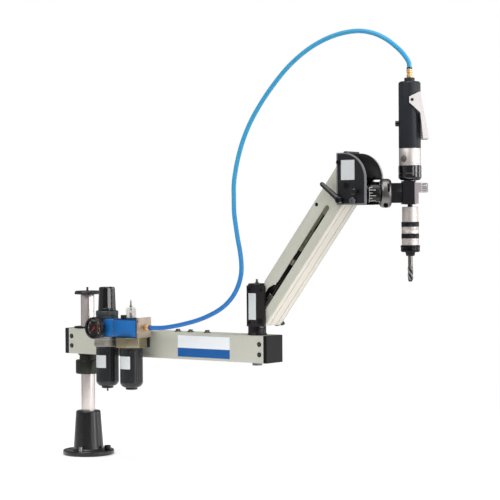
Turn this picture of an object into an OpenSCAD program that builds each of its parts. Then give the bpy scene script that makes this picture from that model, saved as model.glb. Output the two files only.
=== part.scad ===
// Arm tapping machine: an air motor with a quick-change chuck on a balanced two-link arm.
// Millimetres. The column stands on the origin along +Z, and both arms reach out along +X.

/* [Base and column] */
// Diameter of the base flange
flange_d = 122; // [112:1:150]
// Thickness of the base flange
flange_t = 11; // [8:0.5:15]
// Diameter of the cone where it meets the flange
cone_foot_d = 72; // [62:1:78]
// Diameter of the cone at its top
cone_top_d = 58; // [48:1:60]
// Height of the base casting
base_h = 104; // [80:1:115]
// Diameter of the circle through the bench bolt holes
bolt_circle_d = 98; // [94:1:102]
// Diameter of the bench bolt holes
bolt_hole_d = 9; // [6:0.5:11]
// Diameter of the ground steel column
column_d = 32; // [28:0.5:34]
// Height of the column's top end above the bench
column_top = 382; // [375:1:460]
// Diameter of the disc on top of the column
disc_d = 62; // [46:1:80]

/* [Stop collar] */
// Diameter of the split stop collar
collar_d = 58; // [52:1:66]
// Height of the split stop collar
collar_h = 33; // [24:1:40]
// Diameter of the neck above the split collar
neck_d = 40; // [38:0.5:46]

/* [Lower arm] */
// Height of the lower arm's underside above the bench
arm_z = 241.5; // [225:0.5:245]
// Width of the square arm tubes
tube_w = 60; // [56:1:64]
// Wall thickness of the arm tubes
tube_wall = 3; // [2:0.25:4]
// Reach of the lower tube behind the column axis
tube_tail = 33.4; // [32:0.2:44]
// Distance from the column axis to the elbow axis
elbow_x = 504; // [480:1:520]
// Reach of the lower tube beyond the elbow axis
tube_nose = 38.4; // [34:0.2:44]
// Thickness of the rear end cap's plate
rear_cap_t = 11.5; // [6:0.5:16]
// Thickness of the front end cap's plate
front_cap_t = 8.7; // [5:0.1:12]
// Length of the bare name plate on the arm
plate_l = 148; // [100:1:180]
// Height of the bare name plate
plate_h = 48; // [30:1:54]

/* [Air unit] */
// Distance from the column axis to the filter's axis
filter_x = 124; // [120:1:130]
// Distance of the air unit's axes in front of the arm's side
unit_out = 40; // [40:0.5:46]
// Distance between the filter's and the lubricator's axes
unit_pitch = 73; // [71:0.5:76]
// Height of the blue bodies' underside above the arm's underside
unit_rise = 48.5; // [47:0.5:52]
// Height of the blue bodies
unit_h = 41; // [34:1:44]
// Depth of the blue bodies
unit_d = 44; // [40:1:48]
// Diameter of the two bowls
bowl_d = 52; // [44:1:54]
// Length of the two bowls
bowl_l = 92; // [70:1:100]
// Diameter of the pressure gauge
gauge_d = 50; // [40:1:50]
// Depth of the pressure gauge's case
gauge_t = 19.5; // [16:0.5:20]
// Height of the regulator's knob
knob_h = 54; // [30:1:60]
// Diameter of the regulator's knob at its foot
knob_d = 41; // [34:1:44]

/* [Elbow] */
// Height of the elbow's side plates
ear_h = 90; // [86:1:100]
// Width of the elbow's side plates
ear_w = 48; // [46:1:52]
// Thickness of the elbow's and the head's side plates
ear_t = 5.6; // [4:0.2:7]
// Diameter of the elbow's vertical shaft
shaft_d = 18; // [14:0.5:18.5]

/* [Upper arm] */
// Angle of the upper arm above the horizontal as it is shown
rest_pitch = 52.2; // [46:0.2:53]
// Distance between the pivot pins of the upper arm
arm_l = 370.5; // [340:0.5:400]
// Offset of the parallel link's pins from the pivot pins
link_offset = 30; // [29:0.25:31]
// Diameter of the pivot pins
pivot_d = 14; // [10:0.5:15]
// Diameter of the link pins
link_pin_d = 8; // [6:0.5:8]
// Length of the side slots in the upper arm
slot_l = 283; // [240:1:290]
// Width of the side slots in the upper arm
slot_w = 12; // [8:0.5:14]
// Number of curls of the balance spring
spring_curls = 36; // [24:1:38]

/* [Head] */
// Radius of the head's round back
head_r = 56; // [55:0.25:60]
// Angle of the tool arm to the upper arm's plane as it is shown
tool_yaw = 36.7; // [0:0.1:40]
// Diameter of the drum with the tilt scale
drum_d = 46.4; // [42:0.4:47]
// Diameter of the silver split clamp
roll_clamp_d = 61; // [56:0.5:61.5]
// Distance from the swivel axis to the motor's axis
motor_x = 79; // [77:0.5:90]
// Length of the clamping lever
lever_l = 60; // [40:1:80]

/* [Motor and chuck] */
// Diameter of the motor's grip
grip_d = 46.4; // [42:0.2:47]
// Length of the motor's grip
grip_l = 140; // [125:1:160]
// Length of the silver ring below the grip
ring_l = 36.6; // [28:0.2:44]
// Length of the throttle lever below its pin
throttle_l = 82; // [70:1:88]
// Diameter of the quick-change chuck
chuck_d = 34; // [30:0.5:37]
// Diameter of the chuck's release sleeve
sleeve_d = 41; // [38:0.5:44]
// Diameter of the tap's thread
tap_d = 12; // [10:0.5:14]
// Length of the tap outside the chuck
tap_l = 54; // [40:1:70]
// Diameter of the air hose
hose_d = 10; // [8:0.5:11]

/* [Hidden] */
$fn = 64;

// Clearances shared by every piece: a running fit, a free gap and the overrun of a cut
fit = 0.05;
gap = 0.4;
cut = 1;
half_w = tube_w / 2;
inner_w = tube_w - 2 * tube_wall;
arm_top = arm_z + tube_w;

// Small sizes of the base and the column
socket_floor = 6;
edge_r = 2;
foot_fillet = 3;
bolt_count = 3;
bolt_angle = 199;
level_angles = [19, 289, 154];
level_d = 8;
level_head_d = 15;
level_head_h = 11;
level_socket_d = 8;
pin_stand = 11;
disc_t = 8;
disc_edge = 2.5;
stud_d = 5;
stud_h = 9;

// Small sizes of the stop collar
neck_h = 12;
washer_t = 4;
washer_d = 46;
collar_top = arm_z - washer_t;
slit_w = 2;
collar_screw_d = 6;

// Small sizes of the lower arm
bush_d = 44;
bush_flange_d = 64;
bush_flange_t = 4;
elbow_bush_d = 30;
elbow_flange_d = 40;
elbow_flange_t = 1.5;
plug_t = 14;
plug_gap = 0.2;
cap_screw_d = 5;
cap_screw_head = 10;
cap_screw_head_t = 1.4;
cap_screw_in = 10;
rear_screw_in = 9.4;
front_screw_in = 10.9;
cap_screw_spread = 22.6;
top_screw_shares = [0.552, 0.625, 0.721];
top_screw_d = 6;
top_screw_head = 16;
top_screw_flange_t = 2;
top_screw_h = 6;
hex_share = 0.7;
plate_t = 0.6;
plate_share = 0.746;

// Places and small sizes of the air unit
unit_y = half_w + unit_out;
unit_z = arm_z + unit_rise;
unit_top = unit_z + unit_h;
lubricator_x = filter_x + unit_pitch;
seam_x = filter_x + unit_pitch / 2;
unit_side = 30;
outlet_share = 1.15;
unit_right = lubricator_x + outlet_share * unit_side;
filter_ring_d = 60;
lubricator_ring_w = 70;
ring_sides = 8;
ring_h = 23;
bowl_wall = 2.5;
bowl_round = 12;
nub_d = 27;
nub_h = 5;
bonnet_d = 52;
bonnet_h = 18.5;
knob_taper = 4;
knob_edge = 2;
dial_d = 43;
dial_depth = 5;
lens_t = 1.2;
gauge_stem_d = 13;
gauge_stem_l = 8.5;
gauge_drop = 20;
needle_l = 15;
needle_tail = 6;
needle_w = 1.6;
needle_t = 0.7;
needle_hub_d = 5;
needle_angle = -135;
needle_shaft_d = 1.5;
needle_lift = 1.2;
dome_d = 24;
dome_h = 26;
dome_wall = 1.6;
dome_cap = 4;
dome_foot_d = 28;
dome_foot_h = 3;
oil_screw_d = 4;
oil_screw_h = 17;
oil_tip_h = 6;
oil_flange_share = 1.6;
plug_d = 15;
plug_h = 9;
plug_in = 20;
plug_front = 2;
outlet_t = 7.5;
outlet_over = 4.5;
outlet_rise = 23;
outlet_z = unit_z + outlet_rise;
outlet_hex_d = 16;
outlet_hex_l = 9;
outlet_collar_d = 12;
outlet_collar_l = 8.25;
drain_d = 4;
drain_l = 7;
drain_in = 6;
bracket_t = 4;
bracket_l = 120;
bracket_h = 66;
bracket_lug_w = 28;
bracket_lug_h = 26;

// Places of the elbow and the upper arm's pins
pin_in = 12;
ear_back = 2;
ear_x = elbow_x - ear_back;
pin_x = ear_x + ear_w - pin_in;
ear_rise = 20.5;
ear_z = arm_top + ear_rise;
pin_rise = 12;
pin_z = ear_z + pin_rise;
link_angle = 116;
ear_y = half_w + gap;
link_dx = link_offset * cos(link_angle);
link_dz = link_offset * sin(link_angle);
hub_d = 40;
hub_z = arm_top + elbow_flange_t;
hub_over = 3.5;
hub_top = ear_z + ear_h + hub_over;
hub_cap_h = 11;
web_reach = 10.3;
web_x = elbow_x + web_reach;
nipple_d = 9;
nipple_h = 3;
nipple_tip_d = 5;
nipple_tip_h = 6.5;
shaft_washer_d = 26;
shaft_washer_t = 2.5;
shaft_nut_d = 24;
shaft_nut_h = 5;

// Sizes of the upper arm, measured along it and square to it from the pivot pins
pin_drop = 16.7;
arm_under = -(half_w - pin_drop);
arm_over = half_w + pin_drop;
arm_back = 60;
arm_end_top = 21;
arm_end_low = 13;
arm_cut = 9;
tongue_r = 20;
boss_d = 20;
slot_start = 24;
slot_n = 13;
anchor_hole_s = 290.8;
anchor_hole_drop = 8;
anchor_hole_n = arm_over - anchor_hole_drop;
anchor_hole_d = 6;
anchor_l = 20;
anchor_s = 276;
anchor_w = 16;
anchor_gap = 0.7;
anchor_under = 7;
spring_n = 28;
anchor_low = spring_n - anchor_under;
anchor_high = arm_over - tube_wall - anchor_gap;
spring_r = 5;
wire_d = 2;
strut_reach = 172;
cylinder_start = 40;
cylinder_d = 13;
coupling_start = 136;
coupling_l = 14;
coupling_d = 14.4;
strut_rod_d = 7;
strut_tail_d = 11;
eye_d = 17.2;
eye_bore_d = 12.8;
eye_w = 13;
link_y = 9;
link_t = 8;
link_h = 10;
link_eye_d = 16;
open_pivot_gap = 0.3;

// Places and small sizes of the head
head_x = pin_x + arm_l * cos(rest_pitch);
head_z = pin_z + arm_l * sin(rest_pitch);
head_back = 24;
head_left = head_x - head_back;
head_drop = 41;
head_low = head_z - head_drop;
round_in = 8;
round_x = head_x - round_in;
round_rise = 13;
round_z = head_z + round_rise;
head_right = round_x + head_r;
hood_t = 6;
hood_low = 2;
lug_low = -4;
lug_high = 8;
lug_h = 12;
tool_drop = 17;
tool_z = head_z - tool_drop;
swivel_reach = 43;
swivel_x = head_x + swivel_reach;
swivel_r = 15;
swivel_pin_d = 12;
knuckle_h = 35;
knuckle_gap = 0.3;
knuckle_lows = [head_low, tool_z + knuckle_h / 2 + knuckle_gap];
floor_in = 2.5;
knuckle_out = 19.4;
knuckle_starts = [head_x - floor_in, head_x + knuckle_out];
knuckle_web_gap = 14;
knuckle_end = swivel_x - knuckle_web_gap;
cheek_clear = 18;
cheek_cut_x = swivel_x - cheek_clear;
cheek_clear_h = 29;
cheek_cut_z = tool_z + cheek_clear_h;
lever_in = 12;
lever_drop = 31;
lever_x = head_x - lever_in;
lever_z = head_z - lever_drop;
lever_angle = 142;
lever_hub_d = 14;
lever_hub_l = 14;
lever_end_d = 9;
lever_root_d = 11;
lever_pin_d = 6;
index_out = 25;
index_drop = 13.5;
knob_x = head_x + index_out;
knob_z = head_z - index_drop;
index_d = 8;
index_knob_d = 15;
index_knob_l = 12;
index_neck_l = 3;
face_screw_out = 17;
face_screw_drop = 33;
face_screw_x = head_x + face_screw_out;
face_screw_z = head_z - face_screw_drop;
face_screw_d = 16;
corner_screw_in = 18.5;
corner_screw_rise = 49;
corner_screw_x = head_x - corner_screw_in;
corner_screw_z = head_z + corner_screw_rise;
corner_screw_d = 10;
face_screw_t = 3;

// Places along the tool arm, from the swivel axis
drum_start = -9.5;
drum_end = 19;
flat_end = 16.5;
spigot_d = 24;
spigot_end = 37;
clamp_start = 14;
clamp_end = 39.5;
waist_r = 92;
waist_in = 5;
clamp_screw_x = 26.3;
clamp_screw_z = -26;
clamp_screw_d = 6;
bar_end = 62;
bar_w = 36;
bar_low = -20.5;
bar_high = 21;
bar_groove = 1;
holder_w = 44;
holder_low = -23.4;
holder_high = 25.2;
holder_end = 86.3;
jaw_gap = 0.3;
jaw_end = 102.2;
jaw_lip = 95.7;
jaw_step = 1;
jaw_low = -22.6;
jaw_high = 21.6;
nut_x = 102.6;
nut_l = 13.8;
nut_d = 20.4;
nut_z = 11;
nut_stud_d = 6;
nut_stud_in = 5;
housing_d = 26;

// Heights of the motor and the chuck, from the tool arm's axis
housing_low = -24;
nose_low = 27;
nose_step = 31.8;
nose_top = 57.4;
nose_d = 48.4;
nose_small_d = 40;
ring_top = nose_top + ring_l;
ring_d = grip_d - 0.4;
grip_top = ring_top + grip_l;
grip_edge = 3;
motor_neck_d = 21.8;
motor_neck_h = 8;
inlet_hex_d = 13.6;
inlet_hex_h = 10;
inlet_body_d = 12.4;
inlet_body_h = 9;
ferrule_d = 11;
ferrule_h = 3;
throttle_x = 3;
throttle_drop = 39;
throttle_z = grip_top - throttle_drop;
throttle_pin_d = 6;
throttle_gap = 1;
throttle_t = 1.5;
throttle_top = 17;
throttle_plate_top = -25;
throttle_outer = 35.7;
throttle_inner = 22.6;
button_rise = 52;
button_z = ring_top + button_rise;
button_d = 12;
button_out = 7;
button_in = 3;
button_bore = 7;
spindle_d = 10.4;
spindle_in = 14;
chuck_top = -29;
chuck_stage_h = 31.7;
band_h = 10.4;
band_over = 2.5;
middle_h = 14.1;
middle_over = 1.4;
lower_h = 13.9;
lower_over = 1;
core_d = 27.8;
sleeve_h = 14.5;
sleeve_play = 0.3;
core_h = 18.9;
chuck_nose_d = 19;
chuck_nose_h = 4;
tap_shank_d = 10;
tap_in = 20;
flute_l = 30.5;
flute_d = 5;
tap_tip = 3;

// Route of the air hose: points chosen along its centre line
hose_from = [unit_right + outlet_t + outlet_hex_l + outlet_collar_l + gap, -unit_y, outlet_z];
hose_to = [swivel_x + motor_x * cos(tool_yaw), motor_x * sin(tool_yaw),
    tool_z + grip_top + motor_neck_h + inlet_hex_h + inlet_body_h + ferrule_h + 2 * gap];
hose_route = [hose_from, [290, -70, 314], [325, -70, 319], [360, -70, 326], [395, -70, 335],
    [425, -69, 346], [453, -67, 360], [475, -65, 377], [491, -64, 396], [501, -62, 417],
    [506, -60, 440], [504, -57, 465], [498, -54, 490], [491, -52, 515], [484, -49, 541],
    [478, -47, 571], [475, -44, 603], [473, -41, 635], [476, -38, 666], [482, -35, 697],
    [492, -31, 732], [509, -27, 770], [533, -23, 808], [561, -19, 844], [594, -14, 880],
    [623, -9, 905], [653, -4, 925], [683, 2, 940], [713, 8, 950], [742, 14, 956], [771, 19, 956],
    [800, 24, 948], [824, 29, 936], [842, 34, 922], [856, 39, 908], [866, 43.5, 894],
    [870.6, 46.5, 883.5], hose_to];
hose_low_end = 10;
hose_rise_end = 27;
hose_sides = 10;

// Shapes used by several pieces
module lathe(points) rotate_extrude() polygon(points);

module along_y(length) translate([0, length / 2, 0]) rotate([90, 0, 0]) linear_extrude(length) children();

module along_x() rotate([90, 0, 90]) children();

module pin_y(x, z, d, y0, y1) {
    translate([x, y1, z]) rotate([90, 0, 0]) cylinder(d = d, h = y1 - y0);
}

module box(x0, x1, y0, y1, z0, z1) translate([x0, y0, z0]) cube([x1 - x0, y1 - y0, z1 - z0]);

module socket_screw(d, head_d, head_h, length, socket_d) {
    difference() {
        union() {
            cylinder(d = head_d, h = head_h);
            translate([0, 0, -length]) cylinder(d = d, h = length + cut);
        }
        translate([0, 0, head_h / 2]) cylinder(d = socket_d, h = head_h, $fn = 6);
    }
}

// The upper arm's own frame: x along the pins, z square to them
module on_arm() translate([pin_x, 0, pin_z]) rotate([0, -rest_pitch, 0]) children();

// The tool arm's own frame: x from the swivel axis towards the motor
module on_tool() translate([swivel_x, 0, tool_z]) rotate([0, 0, tool_yaw]) children();

// The motor's own frame: z up its axis
module on_motor() on_tool() translate([motor_x, 0, 0]) children();

// Base casting with its socket, bench bolt holes and levelling threads
module base_casting() color("#26282b") {
    flange_r = flange_d / 2;
    foot_r = cone_foot_d / 2;
    top_r = cone_top_d / 2;
    socket_r = column_d / 2 + fit;
    difference() {
        lathe([[0, 0], [flange_r - edge_r, 0], [flange_r, edge_r], [flange_r, flange_t - edge_r],
            [flange_r - edge_r, flange_t], [foot_r + foot_fillet, flange_t],
            [foot_r, flange_t + foot_fillet], [top_r, base_h - edge_r], [top_r - edge_r, base_h],
            [socket_r, base_h], [socket_r, socket_floor], [0, socket_floor]]);
        for (i = [0 : bolt_count - 1]) rotate([0, 0, bolt_angle + i * 360 / bolt_count])
            translate([bolt_circle_d / 2, 0, -cut]) cylinder(d = bolt_hole_d, h = flange_t + 2 * cut);
        for (a = level_angles) rotate([0, 0, a])
            translate([bolt_circle_d / 2, 0, -cut]) cylinder(d = level_d + 2 * fit, h = flange_t + 2 * cut);
    }
}

// One capped levelling screw and two plain ones
module levelling_screws() color("#1c1c1e") {
    rotate([0, 0, level_angles[0]]) translate([bolt_circle_d / 2, 0, flange_t])
        socket_screw(level_d, level_head_d, level_head_h, flange_t, level_socket_d);
    for (i = [1, 2]) rotate([0, 0, level_angles[i]]) translate([bolt_circle_d / 2, 0, 0])
        difference() {
            cylinder(d = level_d, h = flange_t + pin_stand);
            translate([-level_d, -slit_w / 2, flange_t + pin_stand - slit_w])
                cube([2 * level_d, slit_w, 2 * slit_w]);
        }
}

// Ground steel column
module column() color("#d9d9dc") {
    r = column_d / 2;
    lathe([[0, socket_floor], [r - edge_r, socket_floor], [r, socket_floor + edge_r],
        [r, column_top], [0, column_top]]);
}

// Disc and stud that close the column's top
module top_disc() color("#2a2b2d") translate([0, 0, column_top]) {
    r = disc_d / 2;
    lathe([[0, 0], [r - disc_edge / 2, 0], [r, disc_edge], [r - disc_edge, disc_t], [stud_d, disc_t],
        [stud_d / 2, disc_t + stud_d / 4], [stud_d / 2, disc_t + stud_h], [0, disc_t + stud_h]]);
}

// Split collar that holds the arm's height, with its clamping screw
module stop_collar() color("#1f2021") {
    bore_r = column_d / 2 + fit;
    low = collar_top - neck_h - collar_h;
    screw_y = (collar_d / 2 + bore_r) / 2;
    difference() {
        lathe([[bore_r, low], [collar_d / 2 - edge_r, low], [collar_d / 2, low + edge_r],
            [collar_d / 2, low + collar_h - edge_r], [collar_d / 2 - edge_r, low + collar_h],
            [neck_d / 2, low + collar_h], [neck_d / 2, collar_top], [bore_r, collar_top]]);
        translate([-slit_w / 2, 0, low - cut]) cube([slit_w, collar_d, collar_h + cut]);
        translate([-collar_d / 2, screw_y, low + collar_h / 2]) rotate([0, 90, 0])
            cylinder(d = collar_screw_d + 2 * fit, h = collar_d);
    }
    translate([-collar_screw_d * 2, screw_y, low + collar_h / 2]) rotate([0, 90, 0])
        cylinder(d = collar_screw_d, h = collar_screw_d * 4);
}

// Washer that the arm turns on
module thrust_washer() color("#3a3a3c") translate([0, 0, collar_top]) difference() {
    cylinder(d = washer_d, h = washer_t);
    translate([0, 0, -cut]) cylinder(d = column_d + 2 * gap, h = washer_t + 2 * cut);
}

// Square tube of the lower arm, bored for its two bushes
module arm_tube() color("#c9c8bc") difference() {
    box(-tube_tail, elbow_x + tube_nose, -half_w, half_w, arm_z, arm_top);
    box(-tube_tail - cut, elbow_x + tube_nose + cut, -inner_w / 2, inner_w / 2, arm_z + tube_wall,
        arm_top - tube_wall);
    translate([0, 0, arm_z - cut]) cylinder(d = bush_d + 2 * fit, h = tube_w + 2 * cut);
    translate([elbow_x, 0, arm_z - cut]) cylinder(d = elbow_bush_d + 2 * fit, h = tube_w + 2 * cut);
    cap_screw_places() translate([0, 0, -tube_wall - cut])
        cylinder(d = cap_screw_d + 2 * fit, h = tube_wall + 2 * cut);
    for (s = top_screw_shares) translate([elbow_x * s, 0, arm_top - tube_wall - cut])
        cylinder(d = top_screw_d + 2 * fit, h = tube_wall + 2 * cut);
}

// Places of the eight end cap screws, with z out of the tube's side faces
module cap_screw_places() {
    for (x = [rear_screw_in - tube_tail, elbow_x + tube_nose - front_screw_in])
        for (side = [-1, 1]) for (dz = [-1, 1])
            translate([x, side * half_w, arm_z + half_w + dz * cap_screw_spread / 2])
                rotate([side * -90, 0, 0]) children();
}

// Flanged bushes on the column and at the elbow
module arm_bushes() color("#232325") {
    difference() {
        union() {
            translate([0, 0, arm_z]) cylinder(d = bush_d, h = tube_w);
            translate([0, 0, arm_top]) cylinder(d = bush_flange_d, h = bush_flange_t);
        }
        translate([0, 0, arm_z - cut])
            cylinder(d = column_d + 2 * fit, h = tube_w + bush_flange_t + 2 * cut);
    }
    translate([elbow_x, 0, 0]) difference() {
        union() {
            translate([0, 0, arm_z]) cylinder(d = elbow_bush_d, h = tube_w);
            translate([0, 0, arm_top]) cylinder(d = elbow_flange_d, h = elbow_flange_t);
        }
        translate([0, 0, arm_z - cut])
            cylinder(d = shaft_d + 2 * fit, h = tube_w + elbow_flange_t + 2 * cut);
    }
}

// End cap: an outer plate and a plug that takes the side screws
module end_cap(x, side, plate) {
    plug = inner_w - 2 * plug_gap;
    low = arm_z + tube_wall + plug_gap;
    difference() {
        union() {
            box(min(x, x + side * plate), max(x, x + side * plate), -half_w, half_w, arm_z, arm_top);
            box(min(x, x - side * plug_t), max(x, x - side * plug_t), -plug / 2, plug / 2, low, low + plug);
        }
        cap_screw_places() translate([0, 0, -cap_screw_in - cut])
            cylinder(d = cap_screw_d + 2 * fit, h = cap_screw_in + 2 * cut);
        translate([0, 0, arm_z]) cylinder(d = bush_d + 2 * gap, h = tube_w);
    }
}

module rear_cap() color("#1e1e20") end_cap(-tube_tail, -1, rear_cap_t);

module front_cap() color("#1e1e20") end_cap(elbow_x + tube_nose, 1, front_cap_t);

// Eight end cap screws and three flanged screws on the arm's top
module arm_screws() color("#8d9189") {
    cap_screw_places() difference() {
        union() {
            cylinder(d = cap_screw_head, h = cap_screw_head_t);
            translate([0, 0, -cap_screw_in]) cylinder(d = cap_screw_d, h = cap_screw_in);
        }
        translate([0, 0, cap_screw_head_t / 2]) cylinder(d = cap_screw_d, h = cap_screw_head_t, $fn = 6);
    }
    for (s = top_screw_shares) translate([elbow_x * s, 0, arm_top]) {
        cylinder(d = top_screw_head, h = top_screw_flange_t);
        translate([0, 0, top_screw_flange_t])
            cylinder(d = top_screw_head * hex_share, h = top_screw_h - top_screw_flange_t, $fn = 6);
        translate([0, 0, -tube_wall * 2]) cylinder(d = top_screw_d, h = tube_wall * 2);
    }
}

// Bare plate on the arm's front face
module name_plate() color("#e8ecef") {
    x = elbow_x * plate_share;
    z = arm_z + half_w;
    box(x - plate_l / 2, x + plate_l / 2, -half_w - plate_t, -half_w, z - plate_h / 2, z + plate_h / 2);
}

// Bracket that carries the air unit on the arm's front face
module air_bracket() color("#55585c") {
    back = half_w + bracket_t;
    low = unit_top - bracket_h;
    box(seam_x - bracket_l / 2, seam_x + bracket_l / 2, -back, -half_w, low, unit_top - edge_r);
    for (x = [filter_x, lubricator_x]) box(x - bracket_lug_w / 2, x + bracket_lug_w / 2,
        -unit_y + unit_d / 2, -half_w, unit_top - edge_r - bracket_lug_h, unit_top - edge_r);
}

// Blue body of the filter and regulator
module filter_body() color("#2f6fb2") {
    box(filter_x - unit_side, seam_x, -unit_y - unit_d / 2, -unit_y + unit_d / 2, unit_z, unit_top);
}

// Blue body of the lubricator with the sight dome's foot and the filler plug
module lubricator_body() color("#2f6fb2") {
    box(seam_x, unit_right, -unit_y - unit_d / 2, -unit_y + unit_d / 2, unit_z, unit_top);
    translate([lubricator_x, -unit_y, unit_top]) difference() {
        cylinder(d = dome_foot_d, h = dome_foot_h);
        translate([0, 0, dome_foot_h / 2]) cylinder(d = dome_d + 2 * fit, h = dome_foot_h);
    }
    translate([lubricator_x - plug_in, -unit_y - plug_front, unit_top]) cylinder(d = plug_d, h = plug_h);
}

// Grey bonnet under the regulator's knob
module regulator_bonnet() color("#3b4146") translate([filter_x, -unit_y, unit_top]) {
    r = bonnet_d / 2;
    lathe([[0, 0], [r, 0], [r, bonnet_h - edge_r], [r - edge_r, bonnet_h], [0, bonnet_h]]);
}

// Rings that clamp the bowls: a round one and an eight-sided one
module bowl_rings() color("#9a8f6b") {
    translate([filter_x, -unit_y, unit_z - ring_h]) difference() {
        cylinder(d = filter_ring_d, h = ring_h);
        translate([0, 0, -cut]) cylinder(d = bowl_d - 2 * bowl_wall, h = ring_h / 2 + cut);
    }
    translate([lubricator_x, -unit_y, unit_z - ring_h]) difference() {
        rotate([0, 0, 180 / ring_sides])
            cylinder(d = lubricator_ring_w / cos(180 / ring_sides), h = ring_h, $fn = ring_sides);
        translate([0, 0, -cut]) cylinder(d = bowl_d - 2 * bowl_wall, h = ring_h / 2 + cut);
    }
}

// One bowl with its bottom nub and drain bore
module bowl(x, pin_bore) {
    r = bowl_d / 2;
    inner_r = r - bowl_wall;
    inner_round = bowl_round - bowl_wall;
    nub_r = nub_d / 2;
    translate([x, -unit_y, unit_z - ring_h - bowl_l]) difference() {
        union() {
            rotate_extrude() {
                difference() {
                    union() {
                        translate([0, bowl_round]) square([r, bowl_l - bowl_round]);
                        square([r - bowl_round, bowl_l]);
                        translate([r - bowl_round, bowl_round]) circle(r = bowl_round);
                    }
                    union() {
                        translate([0, bowl_round]) square([inner_r, bowl_l]);
                        translate([0, bowl_wall]) square([r - bowl_round, bowl_l]);
                        translate([r - bowl_round, bowl_round]) circle(r = inner_round);
                    }
                    translate([-bowl_l, -cut]) square([bowl_l, 2 * bowl_l]);
                }
            }
            translate([0, 0, -nub_h]) cylinder(r = nub_r, h = nub_h + bowl_wall);
        }
        if (pin_bore) translate([0, 0, -nub_h - cut])
            cylinder(d = drain_d + 2 * fit, h = nub_h + bowl_wall + 2 * cut);
    }
}

module filter_bowl() color("#1b1d22") bowl(filter_x, true);

module lubricator_bowl() color("#1b1d22") bowl(lubricator_x, false);

// Drain pin under the filter bowl, with a stop disc inside
module drain_pin() color("#8a8a8a") {
    translate([filter_x, -unit_y, unit_z - ring_h - bowl_l - nub_h - drain_l])
        cylinder(d = drain_d, h = drain_l + nub_h + bowl_wall + drain_in);
    translate([filter_x, -unit_y, unit_z - ring_h - bowl_l + bowl_wall])
        cylinder(d = drain_d * 2, h = drain_in / 2);
}

// Pressure gauge case with its dial recess, needle bore and stem
module gauge_case() color("#17181a") {
    front = unit_y + unit_d / 2 + gauge_stem_l + gauge_t;
    translate([filter_x, -front, unit_top - gauge_drop]) rotate([-90, 0, 0]) difference() {
        union() {
            cylinder(d = gauge_d, h = gauge_t);
            cylinder(d = gauge_stem_d, h = gauge_t + gauge_stem_l);
        }
        translate([0, 0, -cut]) cylinder(d = dial_d, h = dial_depth + cut);
        cylinder(d = needle_shaft_d + 2 * fit, h = gauge_t / 2);
    }
}

module gauge_lens() color("#dfe8ee80") {
    front = unit_y + unit_d / 2 + gauge_stem_l + gauge_t;
    translate([filter_x, -front + lens_t, unit_top - gauge_drop]) rotate([-90, 0, 0])
        cylinder(d = dial_d - 2 * fit, h = lens_t);
}

// Gauge needle with its short shaft
module gauge_needle() color("#d8362a") {
    front = unit_y + unit_d / 2 + gauge_stem_l + gauge_t;
    translate([filter_x, -front + dial_depth - needle_lift, unit_top - gauge_drop]) rotate([-90, 0, 0]) {
        rotate([0, 0, needle_angle]) translate([-needle_w / 2, -needle_l, -needle_t / 2])
            cube([needle_w, needle_l + needle_tail, needle_t]);
        translate([0, 0, -needle_t / 2]) cylinder(d = needle_hub_d, h = needle_t);
        cylinder(d = needle_shaft_d, h = needle_lift * 3);
    }
}

// Clear sight dome, open below, with a bore for the oil screw
module sight_dome() color("#e6eef080") translate([lubricator_x, -unit_y, unit_top + dome_foot_h / 2]) {
    r = dome_d / 2;
    bore_r = oil_screw_d / 2 + fit;
    lathe([[r - dome_wall, 0], [r, 0], [r, dome_h - dome_cap], [r - dome_cap, dome_h], [bore_r, dome_h],
        [bore_r, dome_h - dome_wall * 2], [r - dome_cap - dome_wall, dome_h - dome_wall * 2],
        [r - dome_wall, dome_h - dome_cap - dome_wall]]);
}

// Oil adjusting screw in the dome's top
module oil_needle() color("#8b8f92")
    translate([lubricator_x, -unit_y, unit_top + dome_foot_h / 2 + dome_h]) {
    r = oil_screw_d / 2;
    lathe([[0, -dome_cap * 2], [r, -dome_cap * 2], [r, gap / 2], [r * oil_flange_share, gap / 2],
        [r * oil_flange_share, oil_screw_h / 4],
        [r, oil_screw_h / 4], [r, oil_screw_h - oil_tip_h], [r / 3, oil_screw_h], [0, oil_screw_h]]);
}

// End block and fitting that the hose leaves from
module outlet_block() color("#b9a98a") {
    box(unit_right, unit_right + outlet_t, -unit_y - unit_d / 2, -unit_y + unit_d / 2, unit_z,
        unit_top + outlet_over);
}

module outlet_fitting() color("#b08d4a") translate([unit_right + outlet_t, -unit_y, outlet_z])
    rotate([0, 90, 0]) {
    cylinder(d = outlet_hex_d, h = outlet_hex_l, $fn = 6);
    translate([0, 0, outlet_hex_l]) cylinder(d = outlet_collar_d, h = outlet_collar_l);
}

// Regulator's turning knob
module regulator_knob() color("#202225") translate([filter_x, -unit_y, unit_top + bonnet_h + gap / 2]) {
    r = knob_d / 2;
    top_r = r - knob_taper / 2;
    lathe([[0, 0], [r, 0], [r, knob_edge], [top_r, knob_h - knob_edge], [top_r - knob_edge, knob_h], [0,
        knob_h]]);
}

// Elbow casting: round hub, web between the side plates, and the shaft's bore
module elbow_hub() color("#222224") difference() {
    union() {
        translate([elbow_x, 0, 0])
            lathe([[0, hub_z], [hub_d / 2 + edge_r, hub_z], [hub_d / 2, hub_z + 2 * edge_r],
            [hub_d / 2, hub_top - edge_r], [hub_d / 2 - edge_r, hub_top], [0, hub_top]]);
        box(ear_x, web_x, -ear_y, ear_y, ear_z + edge_r, ear_z + ear_h - edge_r);
    }
    box(web_x, elbow_x + hub_d, -hub_d, hub_d, ear_z + edge_r, hub_top - hub_cap_h);
    translate([elbow_x, 0, hub_z - cut])
        cylinder(d = shaft_d + 2 * fit, h = hub_top - hub_cap_h - hub_z + cut);
}

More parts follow.
